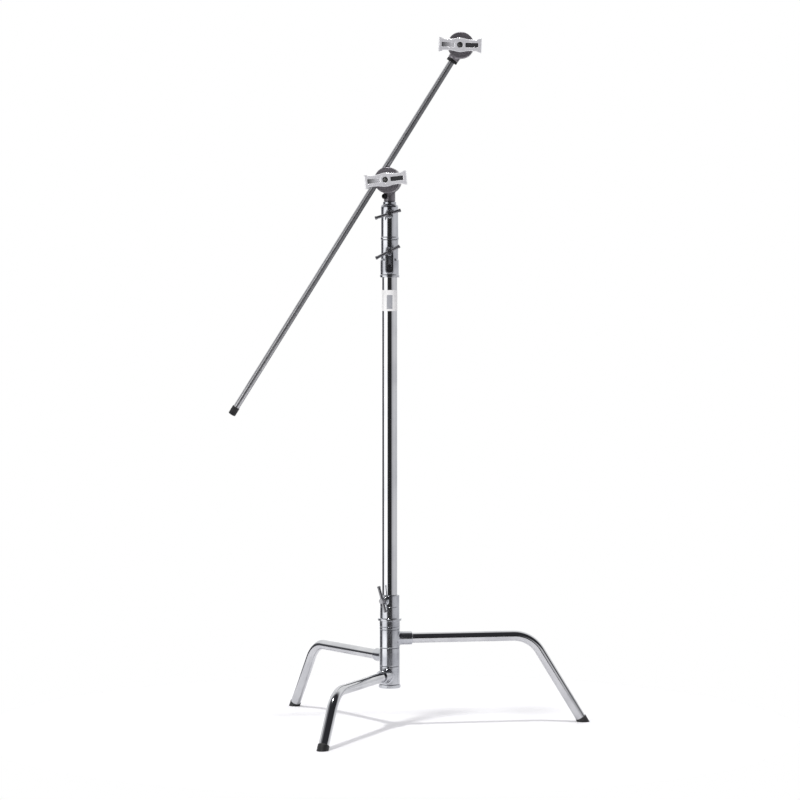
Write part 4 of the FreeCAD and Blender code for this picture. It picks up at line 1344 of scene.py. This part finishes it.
# ---------------------------------------------------------------- studio
@dataclass
class Studio:
    """Pale floor, a soft surround with cards for the chrome to show, and the camera."""

    eye: Array = field(default_factory=lambda: np.array((0.0, -7.0, 1.0)))
    target: Array = field(default_factory=lambda: np.array((0.0254, 0.0, 0.8)))
    lens: float = 129.1
    floor_radius: float = 1.0
    floor_drop: float = 0.0004
    sun_spread: float = 5.0
    lamp_across: float = 2.6
    ambient: Colour = (0.64, 0.63, 0.665)
    card_gain: Colour = grey(1.9)
    ceiling_front: Colour = grey(0.04, 0.005)
    ceiling_left: Colour = grey(0.3, 0.015)
    ceiling_back: Colour = grey(1.1)
    depths: Colour = grey(0.24, 0.01)

    def build(self) -> None:
        """Lay the floor, light it and place the camera."""
        self.lay_floor()
        self.light()
        self.surround()
        self.place_camera()
        log.info("studio ready")

    def lay_floor(self) -> None:
        """Round sheet of white paper, small enough to leave the cards in view."""
        turn = circle(FINE_STEPS)
        rim = np.stack((np.cos(turn), np.sin(turn)), axis=-1) * self.floor_radius
        corners = [(x, y, -self.floor_drop) for x, y in rim]
        mesh = bpy.data.meshes.new("floor")
        mesh.from_pydata(corners, [], [tuple(range(len(corners)))])
        floor = placed("floor", mesh)
        PAPER.dress(floor)

    def light(self) -> None:
        """A small high lamp that casts the thin shadows, a broad key on the left and a weak fill.

        Only the high one shows in the chrome, which is otherwise lit by the surround's cards.
        """
        lamps = (("high", "SUN", (-0.59, -1.12, 5.0), 1.5),
                 ("key", "AREA", (-3.6, -4.2, 2.0), 100.0),
                 ("fill", "AREA", (3.6, -2.0, 3.6), 10.0))
        for name, kind, place, power in lamps:
            lamp = bpy.data.lights.new(name, kind)
            lamp.energy = power
            if kind == "SUN":
                lamp.angle = math.radians(self.sun_spread)
            else:
                lamp.shape = "DISK"
                lamp.size = self.lamp_across
            holder = placed(name, lamp)
            holder.visible_glossy = kind == "SUN"
            self.aim(holder, np.array(place), np.zeros(3))

    @staticmethod
    def aim(holder: bpy.types.Object, place: Array, target: Array) -> None:
        """Stand a lamp or a camera on a point and turn it to look at another."""
        basis = Basis.facing(place, place - target, UPWARD)
        rows = [(*basis.axes.T[row], place[row]) for row in range(3)]
        holder.matrix_world = Matrix((*rows, (0, 0, 0, 1)))

    def surround(self) -> None:
        """Sky that the camera sees white, paper sees even and chrome sees as cards.

        Brightness is a ramp on the azimuth, atan2(x, -y) / 2 pi + 1/2, where 1/2 lies behind
        the camera, left is below it and right above. Above the cards the camera's side is dark,
        except far to the left, and below the floor's edge all sides are.
        """
        world = bpy.data.worlds.new("surround")
        bpy.context.scene.world = world
        world.use_nodes = True
        graph = Graph(world.node_tree)
        x, y, z = (graph.part(graph.where("Generated"), axis) for axis in "XYZ")
        turn = graph.node("Math", {"operation": "ARCTAN2"}, {0: x, 1: y * -1.0})
        place = turn * (0.5 / math.pi) + 0.5
        cards = graph.node("ValToRGB", {"stops": [
            (0.0, grey(0.8)), (0.1, grey(0.8)), (0.13, grey(0.05, 0.005)),
            (0.235, grey(0.04, 0.005)), (0.27, grey(1.0)), (0.4, grey(1.0)), (0.425, grey(0.02)),
            (0.57, grey(0.015)), (0.6, grey(0.35, 0.01)), (0.7, grey(0.48, 0.01)),
            (0.86, grey(0.42, 0.01)), (0.93, grey(0.6)), (1.0, grey(0.8))]}, {"Fac": place})
        lit = graph.node("VectorMath", {"operation": "MULTIPLY"}, {0: cards, 1: self.card_gain})
        above = graph.mix(x.step(-0.5, -0.75), self.ceiling_front, self.ceiling_left)
        ceiling = graph.mix(y.step(0.0, 0.35), above, self.ceiling_back)
        seen_by_chrome = graph.mix(z.step(0.13, 0.3), lit, ceiling)
        seen_by_chrome = graph.mix(z.step(-0.16, -0.32), seen_by_chrome, self.depths)
        diffuse = graph.node("LightPath", output="Is Diffuse Ray")
        camera = graph.node("LightPath", output="Is Camera Ray")
        colour = graph.mix(diffuse, seen_by_chrome, self.ambient)
        colour = graph.mix(camera, colour, grey(1.0))
        backdrop = graph.node("Background", {}, {"Color": colour, "Strength": 1.0})
        graph.node("OutputWorld", {}, {"Surface": backdrop})

    def place_camera(self) -> None:
        """Long lens in front of the stand, a little above its middle."""
        data = bpy.data.cameras.new("camera")
        data.lens = self.lens
        data.sensor_width = 36.0
        data.clip_end = 200.0
        camera = placed("camera", data)
        self.aim(camera, self.eye, self.target)
        bpy.context.scene.camera = camera
        bpy.context.scene.view_settings.view_transform = "Standard"


def main() -> None:
    """Build the stand from the floor up, then its studio."""
    logging.basicConfig(level=logging.INFO, format="%(name)s: %(message)s")
    Base(Lock("base_lock", tilt=107.0, slide=4.5, mast=38.1, step=2.6)).build()
    Column(Lock("column_lock", tilt=27.0, slide=-5.0, mast=31.75)).build()
    Risers(Lock("riser_lock", tilt=17.5, slide=-4.3, mast=25.4)).build()
    mast_head = Basis.of_joint("jaw_tilt")
    along = unit(JOINTS["arm_slide"]["axis"])
    pitch = math.degrees(math.atan2(along @ mast_head.up, along @ mast_head.side))
    GripHead("head", mast_head, stem_length=50.6, groove_angle=pitch, handle_angle=5.8,
             screwed=True).build()
    eased("head_pin_screw", BLACK_STEEL, 0.5)
    end_head = Basis.of_joint("arm_jaw_turn", along)
    second = GripHead("arm_head", end_head, stem_length=38.0, groove_angle=0.0,
                      handle_angle=87.2 - pitch)
    Arm(second, Basis.facing(end_head.place - along * HEAD_SPACING, along, mast_head.out)).build()
    Studio().build()


if __name__ == "__main__":
    main()
